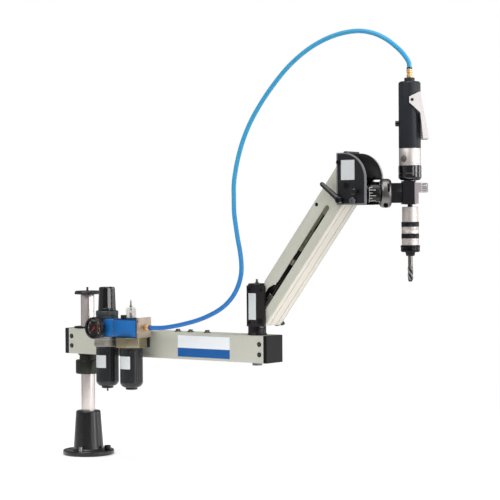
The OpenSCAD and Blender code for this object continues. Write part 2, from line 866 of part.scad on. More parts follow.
// Side plates that carry the upper arm's pins
module elbow_plates() color("#2c2b2d") for (side = [-1, 1]) difference() {
    translate([0, side * (ear_y + ear_t / 2), 0])
        box(ear_x, ear_x + ear_w, -ear_t / 2, ear_t / 2, ear_z, ear_z + ear_h);
    pin_y(pin_x, pin_z, pivot_d + 2 * fit, -half_w * 2, half_w * 2);
    pin_y(pin_x + link_dx, pin_z + link_dz, link_pin_d + 2 * fit, -half_w * 2, half_w * 2);
}

// Vertical elbow shaft with its washer and nut, and the grease nipple above it
module elbow_shaft() color("#6b6e72") translate([elbow_x, 0, 0]) {
    translate([0, 0, arm_z]) cylinder(d = shaft_d, h = hub_top - hub_cap_h - arm_z);
    translate([0, 0, arm_z - shaft_washer_t]) cylinder(d = shaft_washer_d, h = shaft_washer_t);
    translate([0, 0, arm_z - shaft_washer_t - shaft_nut_h])
        cylinder(d = shaft_nut_d, h = shaft_nut_h, $fn = 6);
    translate([0, 0, hub_top]) {
        cylinder(d = nipple_d, h = nipple_h, $fn = 6);
        translate([0, 0, nipple_h]) cylinder(d = nipple_tip_d, h = nipple_tip_h);
    }
}

module elbow_pins() color("#4a4c4f") {
    side = ear_y + ear_t;
    pin_y(pin_x, pin_z, pivot_d, -side, side);
    pin_y(pin_x + link_dx, pin_z + link_dz, link_pin_d, -side, side);
}

// Side outline of the upper arm, drawn in its own frame
module arm_outline(wall) {
    polygon([[-arm_back, arm_under + wall], [arm_l + arm_end_low + wall, arm_under + wall],
        [arm_l + arm_end_top + wall, arm_over - wall], [-arm_back, arm_over - wall]]);
}

module arm_shell() difference() {
    rotate([90, 0, 0]) translate([0, 0, -half_w]) linear_extrude(tube_w) arm_outline(0);
    rotate([90, 0, 0]) translate([0, 0, -inner_w / 2]) linear_extrude(inner_w) arm_outline(tube_wall);
    translate([arm_l, -inner_w / 2, arm_under + tube_wall])
        cube([arm_back, inner_w, tube_w - 2 * tube_wall]);
}

// Slotted hollow arm between the elbow and the head
module arm_profile() color("#cfcdc0") difference() {
    union() {
        difference() {
            on_arm() arm_shell();
            box(pin_x - tube_w * 2, pin_x + arm_cut, -tube_w, tube_w, ear_z - tube_w, ear_z + tube_w * 3);
        }
        intersection() {
            on_arm() for (side = [-1, 1]) translate([0, side * (half_w - tube_wall / 2), 0])
                box(-arm_back, arm_back, -tube_wall / 2, tube_wall / 2, arm_under, arm_over);
            pin_y(pin_x, pin_z, 2 * tongue_r, -half_w, half_w);
        }
        pin_y(pin_x, pin_z, boss_d, -half_w + tube_wall / 2, half_w - tube_wall / 2);
        pin_y(head_x, head_z, boss_d, -half_w + tube_wall / 2, half_w - tube_wall / 2);
    }
    pin_y(pin_x, pin_z, pivot_d + 2 * fit, -tube_w, tube_w);
    pin_y(head_x, head_z, pivot_d + 2 * fit, -tube_w, tube_w);
    on_arm() for (side = [-1, 1]) translate([0, side * (half_w - tube_wall / 2), 0]) {
        box(slot_start, slot_start + slot_l - slot_w / 2, -tube_wall, tube_wall, slot_n - slot_w / 2,
            slot_n + slot_w / 2);
        pin_y(slot_start + slot_l - slot_w / 2, slot_n, slot_w, -tube_wall, tube_wall);
        pin_y(anchor_hole_s, anchor_hole_n, anchor_hole_d, -tube_wall, tube_wall);
    }
}

// Block and cross pin that hold the balance spring's upper end
module spring_anchor() color("#3c3e41") on_arm() {
    box(anchor_s, anchor_s + anchor_l, -anchor_w / 2, anchor_w / 2, anchor_low, anchor_high);
    pin_y(anchor_hole_s, anchor_hole_n, anchor_hole_d - 4 * fit, -half_w + fit, half_w - fit);
}

// Balance spring: one round wire, wound along the arm from the coupling to the anchor
spring_low = strut_reach + wire_d / 2;
spring_high = anchor_s - wire_d / 2;
spring_pitch = (spring_high - spring_low) / spring_curls;
echo("least gap between the balance spring's curls", spring_pitch - wire_d);
spring_rings = 8;
wire_sides = 6;

function spring_at(i) = let (a = i * 360 / spring_rings)
    [spring_low + i / spring_rings * spring_pitch, spring_r * cos(a), spring_n + spring_r * sin(a)];

function wire_ring(i) = let (a = i * 360 / spring_rings, p = spring_at(i)) [for (k = [0 : wire_sides - 1])
    let (b = k * 360 / wire_sides, r = wire_d / 2)
    [p[0] + r * sin(b), p[1] + r * cos(b) * cos(a), p[2] + r * cos(b) * sin(a)]];

// Faces of a tube: a fan at each end and two triangles a side between neighbouring rings
function tube_faces(rings, sides) = concat(
    [for (k = [1 : sides - 2]) [0, k, k + 1]],
    [for (i = [0 : rings - 2], k = [0 : sides - 1]) let (a = i * sides + k, b = i * sides + (k + 1) % sides)
        each [[a, a + sides, b], [b, a + sides, b + sides]]],
    [for (k = [1 : sides - 2]) let (o = (rings - 1) * sides) [o, o + k + 1, o + k]]);

module balance_spring() color("#a9adb0") on_arm() {
    rings = spring_curls * spring_rings + 1;
    polyhedron(points = [for (i = [0 : rings - 1])
        each wire_ring(i)], faces = tube_faces(rings, wire_sides));
}

// Gas cylinder of the balancer, with its eye on the elbow's upper pin and the spring's coupling
module gas_cylinder() color("#17181a") on_arm() {
    eye_s = link_offset * cos(link_angle - rest_pitch);
    difference() {
        union() {
            pin_y(eye_s, spring_n, eye_d, -eye_w / 2, eye_w / 2);
            translate([eye_s + eye_bore_d / 2 + edge_r / 2, 0, spring_n]) rotate([0, 90, 0])
                cylinder(d = strut_rod_d, h = cylinder_start - eye_s);
            translate([cylinder_start, 0, spring_n]) rotate([0, 90, 0]) {
                cylinder(d = cylinder_d, h = coupling_start - cylinder_start);
                cylinder(d = strut_tail_d, h = strut_reach - cylinder_start);
            }
            translate([coupling_start, 0, spring_n]) rotate([0, 90, 0])
                cylinder(d = coupling_d, h = coupling_l);
        }
        pin_y(eye_s, spring_n, eye_bore_d, -eye_w, eye_w);
    }
}

// Parallel link that keeps the head upright
module parallel_link() color("#2b2d30") difference() {
    union() {
        translate([link_dx, 0, link_dz]) on_arm() {
            box(0, arm_l, link_y, link_y + link_t, -link_h / 2, link_h / 2);
            for (s = [0, arm_l]) pin_y(s, 0, link_eye_d, link_y, link_y + link_t);
        }
    }
    pin_y(pin_x + link_dx, pin_z + link_dz, link_pin_d + 2 * fit, link_y - cut, link_y + link_t + cut);
    pin_y(head_x + link_dx, head_z + link_dz, link_pin_d + 2 * open_pivot_gap, link_y - cut,
        link_y + link_t + cut);
}

// Outline of the head's cheeks: straight in front and below, round towards the motor
module cheek_outline(inset) {
    translate([head_left + inset, head_low + inset])
        square([round_x - head_left - inset, round_z + head_r - head_low - 2 * inset]);
    translate([round_x - cut, head_low + inset]) square([head_r - inset + cut, round_z - head_low - inset]);
    intersection() {
        translate([round_x, round_z]) circle(r = head_r - inset);
        translate([round_x - cut, round_z - cut]) square([head_r + cut, head_r + cut]);
    }
}

// Two cheeks of the head; the rear one is cut away where the tool arm swings
module head_cheeks() color("#2b2c2e") difference() {
    for (side = [-1, 1]) translate([0, side * (ear_y + ear_t / 2), 0]) difference() {
        along_y(ear_t) cheek_outline(0);
        if (side > 0) box(cheek_cut_x, head_right + cut, -ear_t, ear_t, head_low - cut, cheek_cut_z);
    }
    pin_y(head_x, head_z, pivot_d + 2 * fit, -tube_w, tube_w);
    pin_y(knob_x, knob_z, index_d + 2 * fit, -tube_w, 0);
    pin_y(lever_x, lever_z, lever_pin_d + 2 * fit, -tube_w, 0);
}

// Hood between the cheeks, with the link's lug and the swivel's two lugs
module head_hood() color("#1d1e20") difference() {
    union() {
        along_y(2 * ear_y) difference() {
            cheek_outline(0);
            cheek_outline(hood_t);
            translate([head_left - cut, head_low - cut])
                square([2 * head_r + tube_w, round_z + hood_low - head_low + cut]);
            translate([head_left - cut, head_low - cut])
                square([hood_t + 2 * cut, round_z + head_r - hood_t - head_low + cut]);
        }
        translate([0, (lug_low + lug_high) / 2, 0]) along_y(lug_high - lug_low) {
            translate([head_x + link_dx, head_z + link_dz]) circle(d = link_eye_d);
            intersection() {
                translate([head_x + link_dx, head_z + link_dz - lug_h / 2]) square([head_r, lug_h]);
                translate([round_x, round_z]) circle(r = head_r - hood_t / 2);
            }
        }
        for (i = [0, 1]) translate([0, 0, knuckle_lows[i]]) {
            box(knuckle_starts[i], knuckle_end, -ear_y, ear_y, 0, hood_t);
            translate([swivel_x, 0, 0]) cylinder(r = swivel_r, h = hood_t);
        }
    }
    pin_y(head_x + link_dx, head_z + link_dz, link_pin_d + 2 * fit, -tube_w, tube_w);
    translate([swivel_x, 0, head_low - cut]) cylinder(d = swivel_pin_d + 2 * fit, h = tube_w);
}

// Pivot pin, link pin and swivel pin, and the two face screws
module head_pins() color("#5c5f63") {
    side = ear_y + ear_t;
    pin_y(head_x, head_z, pivot_d, -side, side);
    pin_y(head_x + link_dx, head_z + link_dz, link_pin_d, lug_low, link_y + link_t);
    translate([swivel_x, 0, head_low]) cylinder(d = swivel_pin_d, h = knuckle_lows[1] + hood_t - head_low);
    pin_y(face_screw_x, face_screw_z, face_screw_d, -side - face_screw_t, -side);
    pin_y(corner_screw_x, corner_screw_z, corner_screw_d, -side - face_screw_t, -side);
}

// Clamping lever on the front cheek
module clamp_lever() color("#151617") {
    side = ear_y + ear_t + gap / 2;
    pin_y(lever_x, lever_z, lever_hub_d, -side - lever_hub_l, -side);
    pin_y(lever_x, lever_z, lever_pin_d, -side - cut, -ear_y);
    translate([lever_x, -side - lever_hub_l / 2, lever_z]) rotate([0, -lever_angle, 0]) rotate([0, 90, 0])
        cylinder(d1 = lever_root_d, d2 = lever_end_d, h = lever_l);
}

// Pull knob of the index pin
module index_knob() color("#151617") {
    side = ear_y + ear_t;
    pin_y(knob_x, knob_z, index_d, -side - index_neck_l - cut, -ear_y);
    translate([knob_x, -side - gap / 2, knob_z]) rotate([90, 0, 0])
        lathe([[0, 0], [index_knob_d / 2 - edge_r, 0],
        [index_knob_d / 2, edge_r + index_neck_l], [index_knob_d / 2, index_knob_l - edge_r],
        [index_knob_d / 2 - edge_r, index_knob_l], [0, index_knob_l]]);
}

// Drum on the vertical swivel pin, with flats above and below, and the spigot the clamp grips
module swivel_drum() color("#161719") on_tool() difference() {
    union() {
        translate([drum_start, 0, 0]) along_x() cylinder(d = drum_d, h = drum_end - drum_start);
        translate([drum_end - cut, 0, 0]) along_x() cylinder(d = spigot_d, h = spigot_end - drum_end + cut);
    }
    for (side = [-1, 1]) translate([0, 0, side * (knuckle_h / 2 + drum_d / 2)])
        box(drum_start - cut, flat_end, -drum_d, drum_d, -drum_d / 2, drum_d / 2);
    translate([0, 0, -drum_d]) cylinder(d = swivel_pin_d + 2 * fit, h = 2 * drum_d);
}

// Silver split clamp: waisted towards the drum, slit below, with its screw
module roll_clamp() color("#b9bbbd") on_tool() {
    difference() {
        translate([clamp_start, 0, 0]) along_x() cylinder(d = roll_clamp_d, h = clamp_end - clamp_start);
        translate([clamp_start - cut, 0, 0]) along_x()
            cylinder(d = spigot_d + 2 * fit, h = clamp_end - clamp_start + 2 * cut);
        translate([clamp_start - cut, 0, 0]) along_x()
            cylinder(d = drum_d + 2 * gap, h = drum_end + gap - clamp_start + cut);
        pin_y(clamp_start + waist_in - waist_r, 0, 2 * waist_r, -tube_w, tube_w);
        box(clamp_start - cut, clamp_end + cut, -slit_w / 2, slit_w / 2, -roll_clamp_d, 0);
        pin_y(clamp_screw_x, clamp_screw_z, clamp_screw_d + 2 * fit, -tube_w, tube_w);
    }
    pin_y(clamp_screw_x, clamp_screw_z, clamp_screw_d, -clamp_screw_d * 3, clamp_screw_d * 3);
}

// Square bar between the clamp and the motor holder, parted along its middle
module tool_bar() color("#19191b") on_tool() difference() {
    box(clamp_end, bar_end, -bar_w / 2, bar_w / 2, bar_low, bar_high);
    for (side = [-1, 1]) translate([0, side * bar_w / 2, 0])
        box(clamp_end - cut, bar_end + cut, -bar_groove, bar_groove, 0, 2 * bar_groove);
}

// Black half of the motor holder
module tool_clamp() color("#141516") on_tool() difference() {
    box(bar_end, holder_end, -holder_w / 2, holder_w / 2, holder_low, holder_high);
    translate([motor_x, 0, holder_low - cut])
        cylinder(d = housing_d + 2 * fit, h = holder_high - holder_low + 2 * cut);
}

// Silver half of the motor holder
module clamp_jaw() color("#c4c6c8") on_tool() difference() {
    union() {
        box(holder_end + jaw_gap, jaw_lip, -holder_w / 2, holder_w / 2, jaw_low, jaw_high);
        box(holder_end + jaw_gap, jaw_end, -holder_w / 2, holder_w / 2, jaw_step, jaw_high);
    }
    translate([motor_x, 0, jaw_low - cut])
        cylinder(d = housing_d + 2 * fit, h = jaw_high - jaw_low + 2 * cut);
    translate([jaw_end - nut_stud_in - gap, 0, nut_z]) along_x()
        cylinder(d = nut_stud_d + 2 * fit, h = nut_stud_in + gap + cut);
}

// Knurled nut that closes the motor holder
module thumb_nut() color("#a4a6a8") on_tool() {
    translate([nut_x, 0, nut_z]) along_x() cylinder(d = nut_d, h = nut_l);
    translate([jaw_end - nut_stud_in, 0, nut_z]) along_x()
        cylinder(d = nut_stud_d, h = nut_stud_in + nut_x - jaw_end + cut);
}

// Black nose of the motor and the housing held in the clamp
module motor_nose() color("#1b1c1e") on_motor() difference() {
    lathe([[0, housing_low], [housing_d / 2, housing_low], [housing_d / 2, nose_low], [nose_small_d / 2,
        nose_low],
        [nose_d / 2, nose_step], [nose_d / 2, nose_top], [0, nose_top]]);
    translate([0, 0, housing_low - cut]) cylinder(d = spindle_d + 2 * fit, h = spindle_in + 2 * cut);
}

module motor_ring() color("#c3c4c6") on_motor() translate([0, 0, nose_top])
    cylinder(d = ring_d, h = ring_l);

// Motor grip with the throttle's cross pin and the button's bore
module motor_grip() color("#1d1f20") on_motor() {
    r = grip_d / 2;
    neck_r = motor_neck_d / 2;
    difference() {
        lathe([[0, ring_top], [r, ring_top], [r, grip_top - grip_edge], [r - grip_edge, grip_top],
            [neck_r, grip_top],
            [neck_r, grip_top + motor_neck_h], [0, grip_top + motor_neck_h]]);
        translate([-r - cut, 0, button_z]) along_x()
            cylinder(d = button_d + 2 * fit, h = button_bore + cut);
    }
    pin_y(throttle_x, throttle_z, throttle_pin_d, -r - throttle_gap - 2 * throttle_t,
        r + throttle_gap + 2 * throttle_t);
}

// Brass inlet fitting and its black ferrule
module inlet_fitting() color("#b58c3c") on_motor() translate([0, 0, grip_top + motor_neck_h]) {
    cylinder(d = inlet_hex_d, h = inlet_hex_h, $fn = 6);
    translate([0, 0, inlet_hex_h]) cylinder(d = inlet_body_d, h = inlet_body_h);
    translate([0, 0, inlet_hex_h + inlet_body_h]) cylinder(d = ferrule_d, h = ferrule_h);
}

// Throttle lever: two side flanges on the cross pin and a back plate
module throttle_lever() color("#d0d2d4") on_motor() translate([throttle_x, 0, throttle_z]) {
    r = grip_d / 2 + throttle_gap;
    slope = (throttle_outer - throttle_top) / (throttle_l + throttle_top);
    upper = throttle_top + slope * (throttle_top - throttle_plate_top);
    difference() {
        for (side = [-1, 1]) translate([0, side * (r + throttle_t / 2), 0]) along_y(throttle_t)
            polygon([[-throttle_pin_d, -throttle_pin_d], [-throttle_pin_d, throttle_pin_d],
                [throttle_top, throttle_top],
                [throttle_outer, -throttle_l], [throttle_inner, -throttle_l], [throttle_top,
                    -throttle_l / 3]]);
        pin_y(0, 0, throttle_pin_d + 2 * fit, -tube_w, tube_w);
    }
    along_y(2 * r + 2 * throttle_t) polygon([[upper, throttle_plate_top], [throttle_outer, -throttle_l],
        [throttle_outer - throttle_t, -throttle_l], [upper - throttle_t, throttle_plate_top]]);
}

module reverse_button() color("#141414") on_motor()
    translate([-grip_d / 2 - button_out, 0, button_z]) along_x()
        cylinder(d = button_d, h = button_out + button_in);

// Quick-change chuck with its spindle, two grooved bands and the core of the release sleeve
module chuck_body() color("#c6c8ca") on_motor() {
    r = chuck_d / 2;
    z0 = chuck_top - chuck_stage_h;
    z1 = z0 - band_h;
    z2 = z1 - middle_h;
    z3 = z2 - band_h;
    z4 = z3 - lower_h;
    z5 = z4 - core_h;
    difference() {
        lathe([[0, housing_low + spindle_in - cut], [spindle_d / 2, housing_low + spindle_in - cut],
            [spindle_d / 2, chuck_top], [r, chuck_top], [r, z0], [r + band_over, z0], [r + band_over, z1],
            [r + middle_over, z1], [r + middle_over, z2], [r + band_over, z2], [r + band_over, z3],
            [r + lower_over, z3], [r + lower_over, z4], [core_d / 2, z4], [core_d / 2, z5],
            [chuck_nose_d / 2, z5], [chuck_nose_d / 2, z5 - chuck_nose_h], [0, z5 - chuck_nose_h]]);
        translate([0, 0, z5 - chuck_nose_h - cut]) cylinder(d = tap_shank_d + 2 * fit, h = tap_in + cut);
    }
}

chuck_low = chuck_top - chuck_stage_h - 2 * band_h - middle_h - lower_h;

// Release sleeve of the chuck
module chuck_sleeve() color("#151618") on_motor() translate([0, 0, chuck_low - sleeve_play - sleeve_h])
    difference() {
    lathe([[0, 0], [sleeve_d / 2 - edge_r, 0], [sleeve_d / 2, edge_r], [sleeve_d / 2, sleeve_h - edge_r],
        [sleeve_d / 2 - edge_r, sleeve_h], [0, sleeve_h]]);
    translate([0, 0, -cut]) cylinder(d = core_d + 2 * fit, h = sleeve_h + 2 * cut);
}

// Tap with three flutes
module tap() color("#2b2b2d") on_motor() translate([0, 0, chuck_low - core_h - chuck_nose_h]) difference() {
    lathe([[0, tap_in - cut], [tap_shank_d / 2, tap_in - cut], [tap_shank_d / 2, -tap_l + flute_l],
        [tap_d / 2, -tap_l + flute_l],
        [tap_d / 2, -tap_l + tap_tip], [tap_d / 3, -tap_l], [0, -tap_l]]);
    for (i = [0 : 2]) rotate([0, 0, i * 120]) translate([tap_d / 2, 0, -tap_l - cut])
        cylinder(d = flute_d, h = flute_l);
}

// Air hose: three stretches of one tube, swept along the route's own points
function unit(v) = v / norm(v);

function route_way(i) = unit(hose_route[min(i + 1, len(hose_route) - 1)] - hose_route[max(i - 1, 0)]);

function hose_ring(i) = let (t = route_way(i), u = unit(cross([0, 1, 0], t)), v = cross(t, u))
    [for (k = [0 : hose_sides - 1]) let (a = k * 360 / hose_sides)
        hose_route[i] + hose_d / 2 * (cos(a) * u + sin(a) * v)];

module hose_run(first, last) {
    polyhedron(points = [for (i = [first : last])
        each hose_ring(i)], faces = tube_faces(last - first + 1, hose_sides));
}

module hose_low() color("#2f86cf") hose_run(0, hose_low_end);

module hose_rise() color("#2f86cf") hose_run(hose_low_end, hose_rise_end);

module hose_fall() color("#2f86cf") hose_run(hose_rise_end, len(hose_route) - 1);

base_casting();
levelling_screws();
column();
top_disc();
stop_collar();
thrust_washer();
arm_tube();
arm_bushes();
rear_cap();
front_cap();
arm_screws();
name_plate();
air_bracket();
filter_body();
lubricator_body();
regulator_bonnet();
bowl_rings();
filter_bowl();
lubricator_bowl();
gauge_case();
gauge_lens();
sight_dome();
outlet_block();
outlet_fitting();
regulator_knob();
gauge_needle();
oil_needle();
drain_pin();
elbow_hub();
elbow_plates();
elbow_shaft();
elbow_pins();
arm_profile();
spring_anchor();
balance_spring();
gas_cylinder();
parallel_link();
head_cheeks();
head_hood();
head_pins();
clamp_lever();
index_knob();
swivel_drum();
roll_clamp();
tool_bar();
tool_clamp();
clamp_jaw();
thumb_nut();
motor_nose();
motor_ring();
motor_grip();
inlet_fitting();
throttle_lever();
reverse_button();
chuck_body();
chuck_sleeve();
tap();
hose_low();
hose_rise();
hose_fall();
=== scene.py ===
"""Looks of an arm tapping machine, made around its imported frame. Sizes are in millimetres."""

from math import acos, asin, cos, degrees, pi, radians, sin, sqrt

import bmesh
import bpy
from mathutils import Matrix, Vector
from mathutils.geometry import tessellate_polygon


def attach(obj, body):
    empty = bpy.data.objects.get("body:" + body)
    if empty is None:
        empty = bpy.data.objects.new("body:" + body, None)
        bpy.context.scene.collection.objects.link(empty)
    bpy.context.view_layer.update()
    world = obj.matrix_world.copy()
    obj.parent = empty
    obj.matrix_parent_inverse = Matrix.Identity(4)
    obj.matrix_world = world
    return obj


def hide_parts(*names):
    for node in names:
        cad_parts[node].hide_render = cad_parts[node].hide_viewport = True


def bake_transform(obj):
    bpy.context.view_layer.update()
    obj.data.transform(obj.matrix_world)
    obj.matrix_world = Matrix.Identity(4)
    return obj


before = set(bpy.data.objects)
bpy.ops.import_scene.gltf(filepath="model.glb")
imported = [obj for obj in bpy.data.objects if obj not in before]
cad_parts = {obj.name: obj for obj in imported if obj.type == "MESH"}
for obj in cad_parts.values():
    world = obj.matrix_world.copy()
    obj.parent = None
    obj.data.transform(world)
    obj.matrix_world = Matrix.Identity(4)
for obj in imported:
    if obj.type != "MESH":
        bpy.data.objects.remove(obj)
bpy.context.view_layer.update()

# Camera. It stands well back at about the height of the elbow and looks at the machine
# from its front right, with both arms nearly side on.
camera_azimuth = radians(36.7)
camera_elevation = radians(0.86)
camera_roll = radians(-0.38)
camera_target = Vector((0.4856, 0, 0.4892))
camera_distance = 3.772
backward = Vector((sin(camera_azimuth) * cos(camera_elevation),
                   -cos(camera_azimuth) * cos(camera_elevation), sin(camera_elevation)))
level = Vector((cos(camera_azimuth), sin(camera_azimuth), 0))
upright = backward.cross(level)
right = cos(camera_roll) * level + sin(camera_roll) * upright
upward = cos(camera_roll) * upright - sin(camera_roll) * level
lens = bpy.data.cameras.new("camera")
lens.sensor_width = 36
lens.lens = 122.4
lens.clip_end = 60


def shown(name, data):
    """An object with its mesh, lamp or camera, put into the scene."""
    made = bpy.data.objects.new(name, data)
    bpy.context.scene.collection.objects.link(made)
    return made


camera = shown("camera", lens)
stand = Matrix((right, upward, backward)).transposed().to_4x4()
camera.matrix_world = Matrix.Translation(camera_target + camera_distance * backward) @ stand
bpy.context.scene.camera = camera


# Air hose. It is a blue polyurethane tube of 10 mm, pushed into the fitting on the air unit's
# end block and into the brass inlet on top of the motor. It is made here in five stretches,
# one at each joint of the arm.
class Value:
    """A number that varies over a surface and takes part in sums."""

    def __init__(self, finish, socket):
        self.finish = finish
        self.socket = socket

    def work(self, operation, first, second):
        node = self.finish.node("Math", {"operation": operation}, {0: first, 1: second})
        return Value(self.finish, node.outputs[0])

    def __add__(self, other):
        return self.work("ADD", self, other)

    __radd__ = __add__

    def __sub__(self, other):
        return self.work("SUBTRACT", self, other)

    def __rsub__(self, other):
        return self.work("SUBTRACT", other, self)

    def __mul__(self, other):
        return self.work("MULTIPLY", self, other)

    __rmul__ = __mul__

    def power(self, other):
        return self.work("POWER", self, other)

    def above(self, edge, blur):
        """0 below the edge and 1 above it, with a soft step as wide as the blur."""
        node = self.finish.node("MapRange", {"interpolation_type": "SMOOTHSTEP"},
                                {0: self, 1: edge - blur / 2, 2: edge + blur / 2})
        return Value(self.finish, node.outputs[0])


class Finish:
    """The look of one surface, built up from nodes."""

    def __init__(self, owner):
        self.owner = owner
        owner.use_nodes = True
        self.tree = owner.node_tree
        self.tree.nodes.clear()

    def node(self, kind, settings=None, inputs=None):
        node = self.tree.nodes.new("ShaderNode" + kind)
        for key, value in (settings or {}).items():
            setattr(node, key, value)
        for key, value in (inputs or {}).items():
            if isinstance(value, Value):
                value = value.socket
            if isinstance(value, bpy.types.NodeSocket):
                self.tree.links.new(value, node.inputs[key])
            elif isinstance(value, tuple) and len(node.inputs[key].default_value) == 4:
                node.inputs[key].default_value = (*value, 1)
            else:
                node.inputs[key].default_value = value
        return node

    def place(self, stretch=(1, 1, 1), centre=(0, 0, 0)):
        """Place on the machine in millimetres, from a centre, with each axis stretched."""
        spot = self.node("TexCoord").outputs["Object"]
        scaled = self.node("VectorMath", {"operation": "SCALE"}, {0: spot, "Scale": 1000})
        moved = self.node(
            "VectorMath", {"operation": "SUBTRACT"}, {0: scaled.outputs[0], 1: Vector(centre)})
        return self.node("VectorMath", {"operation": "MULTIPLY"},
                         {0: moved.outputs[0], 1: Vector(stretch)}).outputs[0]

    def axes(self, centre=(0, 0, 0)):
        parts = self.node("SeparateXYZ", {}, {0: self.place(centre=centre)})
        return [Value(self, parts.outputs[i]) for i in range(3)]

    def noise(self, size, detail=3, stretch=(1, 1, 1), rough=0.55):
        """Uneven value round 0.5, whose spots are about as wide as the size."""
        node = self.node("TexNoise", {}, {"Vector": self.place(stretch), "Scale": 1 / size,
                                          "Detail": detail, "Roughness": rough})
        return Value(self, node.outputs[0])

    def mix(self, factor, first, second):
        node = self.node("Mix", {"data_type": "RGBA"}, {0: factor, 6: first, 7: second})
        return node.outputs[2]

    def mottled(self, spread, colour, share):
        """A colour that is darker where the spread is low and lighter where it is high."""
        return self.mix(spread, tint(*colour, 1 - 2 * share), tint(*colour, 1 + 2 * share))

    def shade(self, colour, rough, height=None, depth=0.0, coat=None, **sockets):
        """Closes the material; the height raises the surface by up to the depth in millimetres,
        and the coat gives the weight and the roughness of a clear coat."""
        inputs = {"Base Color": colour, "Roughness": rough}
        inputs.update({key.replace("_", " "): value for key, value in sockets.items()})
        if coat:
            inputs.update(zip(("Coat Weight", "Coat Roughness"), coat))
        if height:
            bump = self.node(
                "Bump", {}, {"Height": height, "Distance": depth / 1000, "Strength": 1.0})
            inputs["Normal"] = bump.outputs[0]
        shader = self.node("BsdfPrincipled", {}, inputs)
        self.node("OutputMaterial", {}, {0: shader.outputs[0]})
        return self.owner


def look(name):
    """The finish of a new material."""
    return Finish(bpy.data.materials.new(name))


def tint(red, green, blue, share=1.0):
    """A colour as a painter reads it, from 0 to 255, made darker or lighter by the share."""
    parts = [c / 255 for c in (red, green, blue)]
    return tuple(min(1.0, share * (p / 12.92 if p <= 0.04045 else ((p + 0.055) / 1.055) ** 2.4))
                 for p in parts)


def moulded(name, colour, rough, pores=0.9, depth=0.02, mottle=0.08, **sockets):
    """Moulded or extruded plastic: slow shifts of colour, a skin of fine pores and dull spots."""
    sockets.setdefault("Specular_IOR_Level", 0.3)
    finish = look(name)
    slow = finish.noise(45, 2)
    spots = finish.noise(5, 4)
    skin = finish.noise(pores)
    hue = finish.mottled(slow * 0.6 + spots * 0.4, colour, mottle)
    return finish.shade(hue, spots * 0.18 + (rough - 0.09), skin, depth, **sockets)


hose_look = look("hose_blue")
# Painted light: the blue is painted paler where the tube runs high, for the daylight that falls on
# it there
hose_cloud = hose_look.noise(30, 2)
hose_skin = hose_look.noise(4, 2)
hose_painted_light = hose_look.axes()[2].above(500, 420)
hose_lit_hue = hose_look.mix(hose_painted_light, tint(16, 104, 184), tint(54, 158, 204))
hose_lit_hue = hose_look.mix(hose_cloud * 0.16, hose_lit_hue, tint(96, 160, 200))
hose_blue = hose_look.shade(
    hose_lit_hue, hose_skin * 0.1 + 0.3, hose_skin, 0.01, Specular_IOR_Level=0.35)
hose_points = [
    (256.65, -70, 313), (290, -70, 314), (325, -70, 319), (360, -70, 326), (395, -70, 335),
    (425, -69, 346), (453, -67, 360), (475, -65, 377), (491, -64, 396), (501, -62, 417),
    (506, -60, 440), (504, -57, 465), (498, -54, 490), (491, -52, 515), (484, -49, 541),
    (478, -47, 571), (475, -44, 603), (473, -41, 635), (476, -38, 666), (482, -35, 697),
    (492, -31, 732), (509, -27, 770), (533, -23, 808), (561, -19, 844), (594, -14, 880),
    (623, -9, 905), (653, -4, 925), (683, 2, 940), (713, 8, 950), (742, 14, 955), (771, 19, 955),
    (800, 24, 948), (824, 29, 936), (842, 34, 922), (856, 39, 908), (866, 43.5, 894),
    (870.6, 46.5, 883.5), (871.42, 47.21, 874.55)]
hose_d = 10
hose_steps = 6
hose_sides = 20


def curve(points, steps):
    """Smooth line through the points, with some steps between each pair."""
    line = []
    for i in range(len(points) - 1):
        a, b, c, d = [Vector(points[max(0, min(len(points) - 1, i + k))]) for k in (-1, 0, 1, 2)]
        for k in range(steps):
            t = k / steps
            line.append(0.5 * (2 * b + (c - a) * t + (2 * a - 5 * b + 4 * c - d) * t ** 2
                               + (3 * b - 3 * c + d - a) * t ** 3))
    return line + [Vector(points[-1])]


def tube(line, radius, sides):
    """Round tube along a line, closed at both ends."""
    body = bmesh.new()
    rings = []
    side = Vector((0, 1, 0))
    for i, point in enumerate(line):
        way = (line[min(i + 1, len(line) - 1)] - line[max(i - 1, 0)]).normalized()
        side = (side - side.dot(way) * way).normalized()
        other = way.cross(side)
        rings.append([body.verts.new(point + radius * (cos(a) * side + sin(a) * other))
                      for a in [2 * pi * k / sides for k in range(sides)]])
    for low, high in zip(rings, rings[1:]):
        for k in range(sides):
            n = (k + 1) % sides
            body.faces.new((low[k], low[n], high[n], high[k]))
    body.faces.new(rings[0][::-1])
    body.faces.new(rings[-1])
    return body


def piece(name, body, finishes, rider, slot, *nodes, sharp=35):
    """Turns a body into an object that rides on a part of the machine and stands for its nodes."""
    body.transform(Matrix.Scale(0.001, 4))
    bmesh.ops.recalc_face_normals(body, faces=body.faces)
    mesh = bpy.data.meshes.new(name)
    body.to_mesh(mesh)
    body.free()
    mesh.shade_smooth()
    mesh.set_sharp_from_angle(angle=radians(sharp))
    for finish in finishes if isinstance(finishes, (list, tuple)) else [finishes]:
        mesh.materials.append(finish)
    made = shown(name, mesh)
    if rider:
        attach(made, rider)
    if nodes:
        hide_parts(*nodes)
    return made


hose_line = curve(hose_points, hose_steps)
